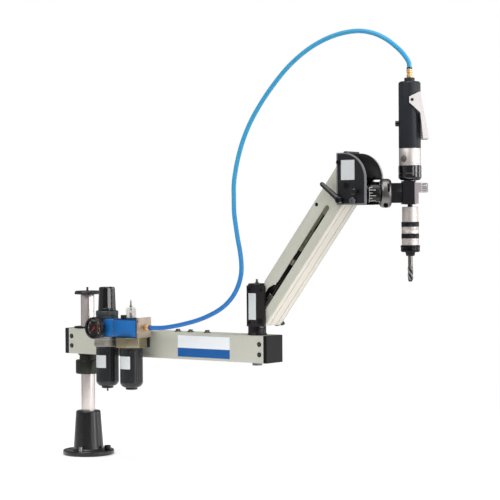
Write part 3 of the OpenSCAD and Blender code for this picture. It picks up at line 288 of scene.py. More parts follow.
# Name, first and last step, the two bodies, how far the line of giving way leans, and the node
hose_stretches = [
    ("hose_by_arm", 0, 42, "lower_arm", "elbow", (0, 0, 0), "hose_low"),
    ("hose_by_elbow", 42, 58, "elbow", "upper_arm", (0, 0, 0), "hose_low"),
    ("hose_by_upper_arm", 58, 147, "upper_arm", "head", (-0.02, 0.42, 0.25), "hose_rise"),
    ("hose_by_head", 147, 167, "head", "swivel", (-0.24, 0.26, -0.15), "hose_rise"),
    ("hose_by_motor", 167, 222, "swivel", "tool_arm", (-0.29, 0.11, -0.27), "hose_fall")]
for name, first, last, lower, upper, lean, node in hose_stretches:
    line = hose_line[first:last + 1]
    stretch = piece(name, tube(line, hose_d / 2, hose_sides), hose_blue, None, node)
    span = line[-1] - line[0]
    way = (span.normalized() + Vector(lean)).normalized()
    line[0] / 1000
    (line[0] + way * span.dot(way)) / 1000
    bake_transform(stretch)
    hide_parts(node)
    line[0] / 1000
    sum((b - a).length for a, b in zip(line, line[1:])) / 1000
    [p / 1000 for p in line]


# Base. One iron casting, a cone on a round flange, filled and sprayed in satin black over a
# slightly rough skin, and bolted to the bench through three holes. A capped screw and two
# slotted ones level it.
def enamel(name, colour, rough, peel, depth, mottle, bare=None, **sockets):
    """Sprayed paint: slow shifts of colour, an uneven skin, and dust in a few places."""
    sockets.setdefault("Specular_IOR_Level", 0.3)
    finish = look(name)
    slow = finish.noise(60, 2)
    cloud = finish.noise(9, 5)
    skin = finish.noise(peel, 2)
    hue = finish.mottled(slow * 0.65 + cloud * 0.35, colour, mottle)
    if bare:
        chips = finish.noise(2.6, 6, rough=0.7).above(0.69, 0.02)
        hue = finish.mix(chips * 0.55, hue, tint(*bare))
    return finish.shade(hue, cloud * 0.16 + (rough - 0.08), skin, depth, **sockets)


def dress(node, finish, edge=0.5, steps=2):
    """Gives a part of the frame its finish, and breaks its sharp edges."""
    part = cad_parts[node]
    for place in part.material_slots:
        place.material = finish
    if edge:
        weld = part.modifiers.new("weld", "WELD")
        weld.merge_threshold = 2e-6
        flat = part.modifiers.new("flat", "DECIMATE")
        flat.decimate_type = "DISSOLVE"
        flat.angle_limit = radians(0.4)
        broken = part.modifiers.new("edge", "BEVEL")
        broken.width = edge / 1000
        broken.segments = steps
        broken.limit_method = "ANGLE"
        broken.angle_limit = radians(38)
        broken.harden_normals = True


cast_black = enamel("cast_black", (14, 15, 16), 0.3, 9, 0.006, 0.03, coat=(0.5, 0.26))
screw_black = enamel(
    "screw_black", (26, 26, 28), 0.3, 0.7, 0.01, 0.10, (120, 118, 115), Metallic=0.6)
dress("base_casting", cast_black, 1.0, 3)
# The two screws in front are bright, and the one behind them is black
screw_look = look("levelling")
screw_stain = screw_look.noise(2, 5)
screw_hue = screw_look.mix(
    screw_look.axes()[1].above(-30, 4), tint(150, 150, 152), tint(30, 30, 32))
screw_hue = screw_look.mix(screw_stain * 0.4, screw_hue, tint(70, 69, 68))
dress("levelling_screws", screw_look.shade(
    screw_hue, screw_stain * 0.2 + 0.24, screw_stain, 0.01, Metallic=0.8))


# Column. A steel bar of 32 mm, hardened, ground and polished, with the fine rings of the
# grinding wheel still on it. A black turned disc with a threaded stud closes its top.
def steel(name, colour, rough, size, stretch=(1, 1, 1), depth=0.006, mottle=0.05, **sockets):
    """Bare metal with tool marks; the stretch lays them along or around the piece."""
    smear = 0.16
    finish = look(name)
    slow = finish.noise(35)
    marks = finish.noise(size, 4, stretch, 0.65)
    stains = finish.noise(12, 5)
    hue = finish.mottled(slow * 0.5 + marks * 0.5, colour, mottle)
    dull = marks * smear + stains * (smear / 2) + (rough - 0.75 * smear)
    sockets.setdefault("Metallic", 1.0)
    return finish.shade(hue, dull, marks, depth, **sockets)


ground_steel = steel("ground_steel", (218, 209, 206), 0.3, 5, (0.05, 0.05, 9), 0.003)
disc_black = enamel("disc_black", (38, 39, 42), 0.3, 0.8, 0.01, 0.10, (130, 130, 130))
dress("column", ground_steel, 0.6)
dress("top_disc", disc_black)

# Stop collar. A split steel ring, blued black, that a cross screw clamps on the column. The arm
# turns on the dark plastic washer above it, whose top face is drawn 0.2 mm low so that it
# never cuts the arm.
def turned(profile, steps, wave=None, loop=False):
    """Body of revolution about z, from pairs of radius and height. The wave changes a radius."""
    body = bmesh.new()
    rings = []
    for r, z in profile:
        if r < 1e-6:
            rings.append([body.verts.new((0, 0, z))])
            continue
        ring = []
        for k in range(steps):
            a = 2 * pi * k / steps
            q = wave(a, r, z) if wave else r
            ring.append(body.verts.new((q * cos(a), q * sin(a), z)))
        rings.append(ring)
    pairs = list(zip(rings, rings[1:])) + ([(rings[-1], rings[0])] if loop else [])
    for low, high in pairs:
        for k in range(steps):
            n = (k + 1) % steps
            corners = dict.fromkeys((low[k % len(low)], low[n % len(low)],
                                     high[n % len(high)], high[k % len(high)]))
            if len(corners) > 2:
                body.faces.new(list(corners))
    return body


def solid(profile, steps=48, wave=None):
    """Turned body that is filled to its axis."""
    return turned([(0, profile[0][1]), *profile, (0, profile[-1][1])], steps, wave)


def stand_in(node, body, finishes, rider, sharp=35):
    """A finer piece that takes the place of a part of the frame."""
    return piece(node + "_made", body, finishes, rider, node, node, sharp=sharp)


blued = steel("blued", (60, 62, 58), 0.4, 4, (0.2, 0.2, 5), 0.008, mottle=0.14)
washer_black = moulded("washer_black", (38, 38, 40), 0.5)
dress("stop_collar", blued)
washer = turned([
    (16.2, 237.6), (22.6, 237.6), (23, 238), (23, 240.9), (22.6, 241.3), (16.2, 241.3)],
    96, loop=True)
stand_in("thrust_washer", washer, washer_black, "collar")

# Lower arm. A square steel tube of 60 mm, powder coated in a warm pale grey, with a flanged
# bush pressed in at each end. Ribbed screws hold a black cap in the tube's ends.
cream = enamel("cream", (192, 192, 180), 0.38, 1.1, 0.035, 0.025, coat=(0.15, 0.3))
bush_black = steel("bush_black", (44, 44, 48), 0.36, 4, (0.2, 0.2, 5), 0.006, mottle=0.12)
cap_black = moulded("cap_black", (30, 30, 33), 0.4, 0.8, 0.04, 0.1)
dress("arm_tube", cream, 1.6, 3)
dress("arm_bushes", bush_black, 0.6)
dress("rear_cap", cap_black, 1.2, 3)
# Painted shade: the front cap's sides are painted a darker black than its end face, which is a
# little paler, for the shade they lie in beside the arm
cap_face_x = 550.7
cap_end = look("front_cap_painted_shade")
cap_grain = cap_end.noise(0.8)
cap_shaded_hue = cap_end.mix(cap_end.axes()[0].above(cap_face_x, 0.6), tint(9, 9, 10), tint(27, 27, 28))
cap_shaded_hue = cap_end.mix(cap_end.noise(30) * 0.15, cap_shaded_hue, tint(40, 40, 42))
dress("front_cap", cap_end.shade(
    cap_shaded_hue, cap_grain * 0.2 + 0.36, cap_grain, 0.03, Specular_IOR_Level=0.15), 1.2, 3)


def slab(outline, low, high, holes=()):
    """Plate between two heights, from an outline in x and y and from its holes."""
    body = bmesh.new()
    loops = [[Vector((x, y, 0)) for x, y in loop] for loop in (outline, *holes)]
    under = [body.verts.new((p.x, p.y, low)) for loop in loops for p in loop]
    over = [body.verts.new((p.x, p.y, high)) for loop in loops for p in loop]
    for a, b, c in tessellate_polygon(loops):
        body.faces.new((under[a], under[b], under[c]))
        body.faces.new((over[a], over[b], over[c]))
    start = 0
    for loop in loops:
        for k in range(len(loop)):
            a, b = start + k, start + (k + 1) % len(loop)
            body.faces.new((under[a], under[b], over[b], over[a]))
        start += len(loop)
    bmesh.ops.recalc_face_normals(body, faces=body.faces)
    bmesh.ops.dissolve_limit(body, angle_limit=radians(0.5), verts=body.verts, edges=body.edges)
    return body


def arc(centre, radius, start, step, count):
    """Points along an arc, from a start angle and with a step in degrees."""
    return [(centre[0] + radius * cos(a), centre[1] + radius * sin(a))
            for a in [radians(start + step * k) for k in range(count)]]


def ring_of(radius, count, centre=(0, 0), start=0.0):
    """Outline of a circle, or of a polygon with few corners."""
    return arc(centre, radius, start, 360 / count, count)


def soften(body, width, steps=2, limit=30):
    """Rounds a body's sharp edges."""
    edges = [e for e in body.edges
             if len(e.link_faces) == 2 and e.calc_face_angle(0) > radians(limit)]
    bmesh.ops.bevel(body, geom=edges, offset=width, offset_type="OFFSET",
                    segments=steps, profile=0.5, affect="EDGES", clamp_overlap=True)
    return body


def moved(body, *ways):
    """Carries a body through one or more moves, the last one first."""
    whole = Matrix.Identity(4)
    for way in ways:
        whole = whole @ (way if isinstance(way, Matrix) else Matrix.Translation(way))
    body.transform(whole)
    return body


def painted(body, index):
    """Chooses which of the piece's finishes a body takes."""
    for face in body.faces:
        face.material_index = index
    return body


def joined(*bodies):
    """Several bodies as one piece."""
    whole = bmesh.new()
    for body in bodies:
        mesh = bpy.data.meshes.new("part")
        body.to_mesh(mesh)
        body.free()
        whole.from_mesh(mesh)
        bpy.data.meshes.remove(mesh)
    return whole


def cut(body, *tools):
    """Takes the tools away from a body."""
    stock = []
    for shape in (body, *tools):
        bmesh.ops.recalc_face_normals(shape, faces=shape.faces)
        mesh = bpy.data.meshes.new("stock")
        shape.to_mesh(mesh)
        shape.free()
        stock.append(shown("stock", mesh))
    for tool in stock[1:]:
        bite = stock[0].modifiers.new("bite", "BOOLEAN")
        bite.object = tool
        bite.operation = "DIFFERENCE"
        bite.solver = "EXACT"
    bpy.context.view_layer.update()
    done = stock[0].evaluated_get(bpy.context.evaluated_depsgraph_get())
    result = bmesh.new()
    result.from_mesh(done.data)
    for thing in stock:
        mesh = thing.data
        bpy.data.objects.remove(thing)
        bpy.data.meshes.remove(mesh)
    return result


def turn(angle, axis):
    return Matrix.Rotation(radians(angle), 4, axis)


def rod(radius, low, high, steps=24, edge=0.0):
    """Plain round bar between two heights, with its ends chamfered if an edge is given."""
    rounded = [(radius - edge, low),
               (radius, low + edge), (radius, high - edge), (radius - edge, high)]
    return solid(rounded if edge else [(radius, low), (radius, high)], steps)


def head_screw(radius, height, socket, shank=0.0, shank_r=0.0):
    """Screw head with a rounded rim and a six-sided socket, with its shank below it."""
    rim = min(radius, height) * 0.28
    head = solid([(radius, 0), (radius, height - rim), (radius - rim, height)], 40)
    head = cut(head, slab(ring_of(socket, 6), height * 0.4, height + 1))
    if shank:
        head = joined(head, rod(shank_r, -shank, 0))
    return head


arm_side = 30
arm_high = 301.5
cap_screws = [(x, z, side) for x in (-24, 531.5) for z in (260.2, 282.8) for side in (-1, 1)]
screw_grey = steel("screw_grey", (96, 97, 94), 0.32, 2, depth=0.004, mottle=0.1)
collar_black = moulded("collar_black", (24, 24, 26), 0.42)
parts = []
for x, z, side in cap_screws:
    ringed = [painted(turned([(5.2, 0), (5.2, 1.0), (4.9, 1.3), (3.5, 1.4), (3.5, 0)],
                             32, loop=True), 1), head_screw(3.4, 1.2, 1.7, 10, 2.45)]
    parts += [moved(b, (x, side * arm_side, z), turn(-90 * side, "X")) for b in ringed]
for x in (278.2, 315, 363.4):
    flange = solid([(8, 0), (8, 1.2), (7.2, 2), (5.4, 2.2)], 40)
    nut = soften(slab(ring_of(5.6, 6), 2, 6), 0.5)
    shank = rod(2.95, -6, 0)
    parts += [moved(b, (x, 0, arm_high)) for b in (flange, nut, shank)]
stand_in("arm_screws", joined(*parts), [screw_grey, collar_black], "lower_arm")

# Plate. A thin printed sheet of aluminium on the arm's front, white above and blue below, and
# bare of words.
plate_middle = 267.5
plate = look("plate_finish")
plate_z = plate.axes((0, 0, plate_middle))[2]
plate_dust = plate.noise(7, 5)
plate_hue = plate.mix(plate_z.above(0, 0.4), tint(4, 88, 160), tint(238, 241, 243))
plate_hue = plate.mix(plate_dust * 0.03, plate_hue, tint(190, 190, 186))
plate_look = plate.shade(
    plate_hue, plate_dust * 0.2 + 0.3, plate.noise(6, 2), 0.004, Specular_IOR_Level=0.25)
dress("name_plate", plate_look, 0.15)
label_pale = enamel("label_pale", (206, 210, 212), 0.4, 1.4, 0.01, 0.03)

# Air unit. Two die-cast bodies in blue metallic paint, joined by a pale seam, hang on a bent
# steel bracket. The grey bonnet is moulded, and so is the tall black knob above it.
air_y = -70
air_front = -92
air_back = -48
filter_x = 124
oil_x = 197
air_low = 290
air_top = 331
blue_metal = enamel(
    "blue_metal", (24, 106, 178), 0.42, 1.0, 0.03, 0.05, Metallic=0.1, coat=(0.12, 0.2))
# Painted shade: a darker copy of the blue, for the lubricator body's sides and rounded edges round
# its lighter front panel
blue_painted_shade = enamel("blue_painted_shade", (14, 52, 96), 0.42, 1.0, 0.03, 0.06, Metallic=0.1)
seam_pale = steel("seam_pale", (196, 200, 204), 0.4, 2)
bracket_grey = enamel("bracket_grey", (72, 76, 80), 0.4, 1.0, 0.02, 0.08, Metallic=0.5)
bonnet_grey = moulded("bonnet_grey", (54, 60, 62), 0.36, 0.8, 0.03, 0.1)
knob_black = moulded("knob_black", (15, 16, 18), 0.16, 1.4, 0.01, coat=(0.6, 0.06))
dress("air_bracket", bracket_grey, 1.0)


def block(x0, x1, y0, y1, z0, z1, edge=0.0, steps=2):
    """Square block between its sides, with its edges rounded if an edge is given."""
    body = slab([(x0, y0), (x1, y0), (x1, y1), (x0, y1)], z0, z1)
    return soften(body, edge, steps) if edge else body


def air_case(left, right, panel, panel_finish, seam):
    """Die-cast body, with a raised panel in front and its half of the seam."""
    return [
        block(left, right, air_front, air_back, air_low, air_top, 2.2, 3),
        painted(block(*panel, air_front - 0.4, air_front + 1, air_low + 1.8, air_top - 1.8, 0.5),
                panel_finish),
        painted(block(*seam, air_front + 1, air_back - 1, air_low + 1, air_top - 1), 1)]


stand_in("filter_body", joined(*air_case(94, 160.2, (96, 159), 0, (159.9, 160.5))),
         [blue_metal, seam_pale], "lower_arm")
dome_foot = turned([(12.05, 1.5), (12.05, 0), (14, 0), (14, 2.3), (13.3, 3), (12.05, 3)],
                   48, loop=True)
plug = solid([(7.5, 0), (7.5, 7.8), (6.6, 9), (3.6, 9), (3.6, 7)],
             48, lambda a, r, z: r - 0.35 * (r > 7) * abs(sin(12 * a)))
# The lubricator body takes the painted shade blue, with its front panel in the lighter blue
stand_in("lubricator_body", joined(
    *air_case(160.8, 231.5, (163.2, 229.4), 3, (160.5, 161.1)),
    moved(dome_foot, (oil_x, air_y, air_top)), painted(moved(plug, (177, -72, air_top)), 2)),
    [blue_painted_shade, seam_pale, knob_black, blue_metal], "lower_arm")
bonnet = solid([(26, 0), (26, 4),
                (25.2, 5), (25.2, 6.4), (26, 7.4), (26, 15.5), (24.6, 17.8), (22, 18.5)], 96)
stand_in("regulator_bonnet", moved(bonnet, (filter_x, air_y, air_top)), bonnet_grey, "lower_arm")


def fluted(count, depth, low, high, width=0.5):
    """Wave that sinks flutes into a turned body between two heights."""
    def wave(a, r, z):
        if not low < z < high:
            return r
        return r - depth * max(0, cos(count * a) - 1 + 2 * width) / (2 * width)
    return wave


def faceted(count, start, low, high):
    """Wave that gives a turned body flat faces between two heights."""
    def wave(a, r, z):
        if not low < z < high:
            return r
        half = pi / count
        off = (a - start + half) % (2 * half) - half
        return r * min(cos(half) / cos(off), 0.99)
    return wave


knob_side = [(20.5 - 2 * (z - 5) / 49, z) for z in (5, 5.6, 6.4, 8, 20, 34, 46, 50, 51)]
knob = solid([
    (19.8, 0), (20.5, 0.7), (20.5, 4.4), (20.1, 5), *knob_side, (17.6, 52.8),
    (15.9, 53.8), (14.2, 54), (13.6, 53.4)], 144, faceted(12, radians(-32.5), 5.5, 51.5))
stand_in("regulator_knob", moved(knob, (filter_x, air_y, 349.7)), knob_black, "regulator")

# Bowls. Smoke-tinted polycarbonate in ribbed guards, which bayonet rings hold under the bodies:
# a pale round one on the filter and an eight-sided olive one on the lubricator.
ring_low = 267
bowl_low = 175
bowls = (("filter_bowl", filter_x), ("lubricator_bowl", oil_x))
ring_pale = steel("ring_pale", (174, 171, 164), 0.42, 3, (0.3, 0.3, 4), 0.01, mottle=0.1)
ring_olive = steel("ring_olive", (150, 141, 118), 0.36, 4, depth=0.008, mottle=0.1)
bowl_dark = moulded("bowl_dark", (34, 35, 38), 0.24, 1.8, 0.02, 0.14, coat=(0.2, 0.15))
pin_steel = steel("pin_steel", (70, 70, 72), 0.3, 2, (0.3, 0.3, 3), 0.004)
filter_ring = turned([
    (23.5, 0), (29.2, 0), (30, 0.8), (30, 6), (29.3, 6.8), (29.3, 16.2), (30, 17),
    (30, 22.2), (29.2, 23), (0, 23), (0, 11.5), (23.5, 11.5)], 144, fluted(36, 0.35, 6.9, 16.1))
oil_ring = soften(
    slab(ring_of(35 / cos(pi / 8), 8, start=22.5), 0, 23, [ring_of(23.5, 64)]), 1.2, 3)
oil_ring = joined(oil_ring, rod(23.4, 11.5, 23, 64))
stand_in("bowl_rings", joined(moved(filter_ring, (filter_x, air_y, ring_low)),
                              painted(moved(oil_ring, (oil_x, air_y, ring_low)), 1)),
         [ring_pale, ring_olive], "lower_arm")


def guarded_bowl():
    """Guard with upright ribs, a round shoulder below and a plain band above."""
    ribs = fluted(14, 0.5, 12, 84, 0.38)
    side = [(26, z) for z in (12.2, 14, 17, 60, 79, 82, 84.2, 86)]
    inside = [(23.5, 92), (23.5, 12), (20.7, 5.2), (14, 2.5), (0, 2.5)]
    return turned([(0, -5), (12.4, -5), (13.5, -3.9), (13.5, 0), *arc((14, 12), 12, -90, 15, 7),
                   *side, (25.4, 86.8), (25.4, 88), (26, 88.8), (26, 92), *inside], 168, ribs)


for node, x in bowls:
    stand_in(node, moved(guarded_bowl(), (x, air_y, bowl_low)), bowl_dark, "lower_arm")
dress("drain_pin", pin_steel, 0.3)


def strip(outer, inner, start, step, count):
    """Outline of a strip that is bent round the origin."""
    return arc((0, 0), outer, start, step, count) + arc((0, 0), inner, start, step, count)[::-1]


# Each bowl carries a plain pale label, left without words
for node, x in bowls:
    label = slab(strip(26.32, 25.9, -126, 5, 15), 218, 247)
    piece(node + "_label", moved(label, (x, air_y, 0)), label_pale, "lower_arm", node)

# Pressure gauge. A steel case sprayed black round a black dial with pale strokes, an orange
# band and a red needle, behind a clear lens.
gauge_black = enamel(
    "gauge_black", (24, 25, 28), 0.26, 0.9, 0.01, 0.1, (110, 110, 110), coat=(0.2, 0.1))
dial_black = moulded("dial_black", (20, 21, 24), 0.5, 0.6, 0.005, 0.04)
dial_white = moulded("dial_white", (226, 226, 220), 0.5, 0.6, 0.005, 0.03)
dial_orange = moulded("dial_orange", (222, 110, 40), 0.5, 0.6, 0.005, 0.05)
needle_red = moulded("needle_red", (168, 42, 36), 0.4, 0.6, 0.005, 0.05)
lens_look = look("lens_clear")
lens_clear = lens_look.shade(
    (0.02, 0.02, 0.02), lens_look.noise(9) * 0.06, Specular_IOR_Level=0.6, Alpha=0.08)
gauge_case = solid([
    (6.5, -28), (6.5, -19.5), (21, -19.5), (23.6, -18.4), (25, -16), (25, -5),
    (24.3, -4), (24.3, -3), (25, -2), (25, -1), (24, 0), (22.2, 0), (21.5, -0.8), (21.5, -5)], 96)
strokes = []
for k in range(31):
    long = k % 5 == 0
    stroke = block(
        -0.45 if long else -0.25, 0.45 if long else 0.25, 14.5 if long else 16.5, 19, -5, -4.75)
    strokes.append(painted(moved(stroke, turn(135 - 9 * k, "Z")), 2))
band = strip(12.4, 11.6, 60, -5, 22)
gauge_face = joined(
    gauge_case, *strokes, painted(slab(band, -5, -4.8), 3), painted(rod(21.4, -5, -4.9, 64), 1))
facing = turn(90, "X")
stand_in("gauge_case", moved(gauge_face, (filter_x, -120, 311), facing),
         [gauge_black, dial_black, dial_white, dial_orange], "lower_arm")
dress("gauge_needle", needle_red, 0)
dress("gauge_lens", lens_clear, 0)

# Sight dome. A clear moulded dome shows each drop of oil fall from a metal tube, and a plated
# needle screw in its top sets the drops.
dome_look = look("dome_clear")
dome_clear = dome_look.shade(
    (0.52, 0.5, 0.43), dome_look.noise(7) * 0.08, Coat_Weight=0.6, Alpha=0.22)
dome = turned([
    (10.4, 0), (12, 0), (12, 20), (11.6, 22.4), (10.4, 24.3), (8.6, 25.6), (6.6, 26),
    (2.05, 26), (2.05, 22.8), (6.2, 22.8), (8.2, 22.2), (9.6, 20.8), (10.4, 19)], 64, loop=True)
stand_in("sight_dome", moved(dome, (oil_x, air_y, 332.5)), dome_clear, "lower_arm")
drip = solid([(6.4, 0), (6.4, 3), (3.4, 4), (3.4, 14), (2.6, 15)], 40)
drip_metal = steel("drip_metal", (150, 148, 138), 0.3, 2)
piece("drip_tube", moved(drip, (oil_x, air_y, 331.2)), drip_metal, "lower_arm", "oil_needle")
dress("oil_needle", drip_metal, 0.3)

# Outlet. A zinc end block in a champagne passivation carries a brass hose fitting, whose blue
# collar frees the hose when it is pressed.
outlet_x = 235.2
champagne = steel("champagne", (186, 172, 158), 0.46, 1.4, depth=0.04, mottle=0.2)
brass = steel("brass", (226, 186, 136), 0.45, 2.5, (0.4, 1, 1), 0.006, mottle=0.08)
collar_blue = moulded("collar_blue", (62, 74, 140), 0.36)
hole_painted_shade = moulded("hole_painted_shade", (14, 14, 15), 0.6)
dress("outlet_block", champagne, 1.2, 3)
stud = solid([(3.2, 0), (3.2, 0.8), (2.8, 1.1)], 32)
# Painted shade: a thin black disc stands for the vent hole in the boss
outlet_eye = painted(moved(rod(1.7, 0, 0.4), (outlet_x, -91.8, 328), facing), 1)
piece("outlet_boss", joined(moved(stud, (outlet_x, -91.6, 303), facing), outlet_eye),
      [brass, hole_painted_shade], "lower_arm", "outlet_block")
outlet = joined(
    soften(slab(ring_of(8, 6), 0, 9), 0.5), solid([(6.6, 9), (6.6, 10), (6, 10.6), (6, 13)]),
    painted(turned([
        (5.2, 13), (5.6, 13), (6, 13.4), (6, 16.4), (5.5, 17.25), (0, 17.25), (0, 13)], 48), 1))
stand_in("outlet_fitting", moved(outlet, (239, air_y, 313), turn(90, "Y")),
         [brass, collar_blue], "lower_arm")

# Elbow. A cast hub with two side plates in brown-black paint turns on a steel shaft, which a
# grease nipple tops. Socket screws hold the plates, and a small lever locks the lower pin.
pin = Vector((538, 0, 334))
elbow_paint = enamel("elbow_paint", (31, 27, 29), 0.34, 1.8, 0.05, 0.1, (110, 104, 100))
shaft_steel = steel("shaft_steel", (120, 122, 126), 0.3, 3, (0.3, 0.3, 3), 0.006)
dress("elbow_hub", elbow_paint, 1.0, 3)
dress("elbow_plates", elbow_paint, 1.4, 3)
dress("elbow_shaft", shaft_steel, 0.4)
dress("elbow_pins", screw_black, 0.6)
plate_side = 36
elbow_label = block(507.5, 527.5, -36.3, -35.9, 337, 395, 0.12, 1)
piece("elbow_label", elbow_label, label_pale, "elbow", "elbow_plates")
elbow_screws = [moved(
    head_screw(3.4, 2.2, 1.7, 3, 1.9), (x, side * plate_side, z), turn(-90 * side, "X"))
    for side in (-1, 1) for x, z in ((508.4, 331), (508.4, 403), (541, 402))]
piece("elbow_screws", joined(*elbow_screws), screw_black, "elbow", "elbow_plates")
pin_knob = solid([(6, 0), (6, 5), (5, 6)], 40)
pin_wing = soften(slab([(-3, 3), (-3, -4), (14, -3), (16, 0), (14, 3)], 1, 5), 0.8)
pin_lever = moved(
    joined(pin_knob, moved(pin_wing, turn(40, "Z"))), (pin.x, plate_side, pin.z), turn(-90, "X"))
piece("pin_lever", pin_lever, cap_black, "elbow", "elbow_pins")

# Upper arm. A drawn aluminium box in the same warm grey, 60 mm square, with a long slot down
# each side and two grooves along its underside. Its lower end is cut upright round the pin.
pitch = radians(52.2)
along = Vector((cos(pitch), 0, sin(pitch)))
outward = Vector((-sin(pitch), 0, cos(pitch)))
# Frame of the upper arm: x along the pins, y outward square to them, z across the arm
arm_frame = Matrix((along, outward, Vector((0, -1, 0)))).transposed().to_4x4()
arm_frame.translation = pin
arm_l = 370.5
under = -13.3
over = 46.7
wall = 3
cut_in = 9
bore = 7.05


def arm_start(n):
    """Where the arm's upright end cut lies, at a height above the line of the pins."""
    return (cut_in + n * sin(pitch)) / cos(pitch)


def arm_stop(n):
    """Where the arm's slanted top end lies."""
    return arm_l + 13 + 8 * (n - under) / (over - under)


tongue = 13.6
turn_from = 180 + degrees(asin(-under / tongue))
turn_to = degrees(acos(cut_in / tongue) - pitch)
slot_low = 7
slot_high = 19
slot_wide = 31
slot_stop = 301
slot_middle = (slot_low + slot_high) / 2
slot_r = (slot_high - slot_low) / 2
screw_spot = (290.8, 38.7)
side_outline = [
    *arc((0, 0), tongue, turn_from, (turn_to - turn_from) / 30, 31),
    (arm_start(slot_low), slot_low), *arc((slot_stop, slot_middle), slot_r, -90, 7.5, 25),
    (arm_start(slot_wide) + 40, slot_high), (arm_start(slot_wide) + 14, slot_wide),
    (arm_start(slot_wide), slot_wide), (arm_start(over), over), (arm_stop(over), over),
    (arm_stop(under), under)]
side_holes = [ring_of(bore, 40), ring_of(bore, 40, (arm_l, 0)), ring_of(4.2, 28, screw_spot)]
arm_sides = [soften(slab(side_outline, z, z + wall, side_holes), 0.5) for z in (-30, 27)]


def lid(low, high, y0, y1):
    """Strip of the box's floor or roof between two heights and two places across."""
    corners = [(arm_start(low), low),
               (arm_stop(low), low), (arm_stop(high), high), (arm_start(high), high)]
    return slab(corners, y0, y1)


# Floor of the box, with a groove 2 mm wide on each side of its middle strip
floor = [lid(under, under + wall, a, b) for a, b in ((-28.5, -14), (-12, 12), (14, 28.5))]
grooves = [lid(under + 1.4, under + wall, a, b) for a, b in ((-14.1, -11.9), (11.9, 14.1))]
corners = [lid(under + 0.7, under + wall, a, b) for a, b in ((-29.4, -28.4), (28.4, 29.4))]
roof = lid(over - wall, over, -28.5, 28.5)
boss = [moved(turned([(bore, -28), (10, -28), (10, 28), (bore, 28)], 48, loop=True), (x, 0, 0))
        for x in (0, arm_l)]
# Painted shade: a black disc fills the screw hole in each side, where the hole looks dark
hole_shade_disc = [moved(turned([(0, 27), (4.1, 27), (4.1, 29.9), (0, 30.1)], 28),
                   (*screw_spot, 0), turn(flip, "X")) for flip in (0, 180)]
# Painted light: the box's floor and grooves are painted a lighter cream than its sides, for the
# light that falls on the underside
cream_lit_underside = enamel("cream_lit_underside", (203, 197, 186), 0.34, 1.1, 0.035, 0.025, coat=(0.15, 0.3))
# Painted light: the inside of the box, its pin bosses and the spring's anchor are painted a
# lighter olive that glows faintly, for the light bounced into the box
arm_inside_painted_glow = enamel("arm_inside_painted_glow", (150, 149, 132), 0.6, 1.2, 0.02, 0.08,
                    Emission_Color=tint(120, 120, 104), Emission_Strength=0.4)
# The faces that look into the box take the lighter, faintly glowing colour of its inside, painted
# light for the light bounced into the box
for body in (*arm_sides, roof):
    for side_face in body.faces:
        spot = side_face.calc_center_median()
        if abs(spot.z) < wall + 24.01 and spot.y < over - wall + 0.01:
            side_face.material_index = 2
arm_box = joined(*arm_sides, *[painted(b, 1) for b in floor + grooves + corners],
                 roof, *[painted(b, 2) for b in boss], *[painted(b, 3) for b in hole_shade_disc])
stand_in("arm_profile", moved(arm_box, arm_frame),
         [cream, cream_lit_underside, arm_inside_painted_glow, screw_black], "upper_arm")

# Balancer. A black gas cylinder hooks on the elbow's upper pin. Its silver coupling pulls a
# long spring of 2 mm wire, which a block at the top of the arm holds.
rod_black = enamel("rod_black", (20, 20, 22), 0.2, 1.0, 0.005, 0.1, coat=(0.3, 0.1))
satin_silver = steel("satin_silver", (202, 195, 192), 0.5, 3, (0.3, 0.3, 3), 0.006)
spring_steel = steel("spring_steel", (206, 208, 196), 0.36, 1.5, depth=0.004, mottle=0.08)
strut_n = 28
strut = joined(
    painted(solid([(3.5, 22), (3.5, 37), (6, 37), (6.8, 37.8), (6.8, 50.2), (6, 51)]), 1),
    solid([(6.5, 51), (6.5, 134.6), (5.8, 136)]),
    painted(solid([
        (6.6, 136), (7.2, 136.6), (7.2, 139.4), (6.7, 139.8), (6.7, 141), (7.2, 141.4),
        (7.2, 144.6), (6.7, 145), (6.7, 146.2), (7.2, 146.6), (7.2, 149.3), (6.6, 150)]), 1),
    solid([(5.5, 150), (5.5, 171), (4.6, 172)], 40))
eye = turned([(6.4, -6.5), (8, -6.5), (8.6, -5.9), (8.6, 5.9), (8, 6.5), (6.4, 6.5)],
             48, loop=True)
strut_body = joined(moved(strut, (0, strut_n, 0), turn(90, "Y")), moved(eye, (13.25, strut_n, 0)))
stand_in("gas_cylinder", moved(strut_body, arm_frame), [rod_black, satin_silver], "balancer")
coils = 24
coil_steps = 18
coil_from = 173
coil_to = 226
coil_r = 4.4
coil_line = [Vector((coil_from + (coil_to - coil_from) * k / (coils * coil_steps),
                     strut_n + coil_r * sin(2 * pi * k / coil_steps),
                     -coil_r * cos(2 * pi * k / coil_steps)))
             for k in range(coils * coil_steps + 1)]
coil_line += curve([(coil_to + 1, strut_n, -coil_r), (coil_to + 6, strut_n, -2),
                    (coil_to + 12, strut_n, 0), (250, strut_n, 0), (275, strut_n, 0)], 5)
coil_line = [arm_frame @ point for point in coil_line]
spring = piece(
    "balance_spring_made", tube(coil_line, 1.0, 8), spring_steel, None, "balance_spring")
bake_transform(spring)
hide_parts("balance_spring")
# The spring's anchor takes the inside's painted glow too
dress("spring_anchor", arm_inside_painted_glow, 0.8)
dress("parallel_link", screw_black, 0.8)

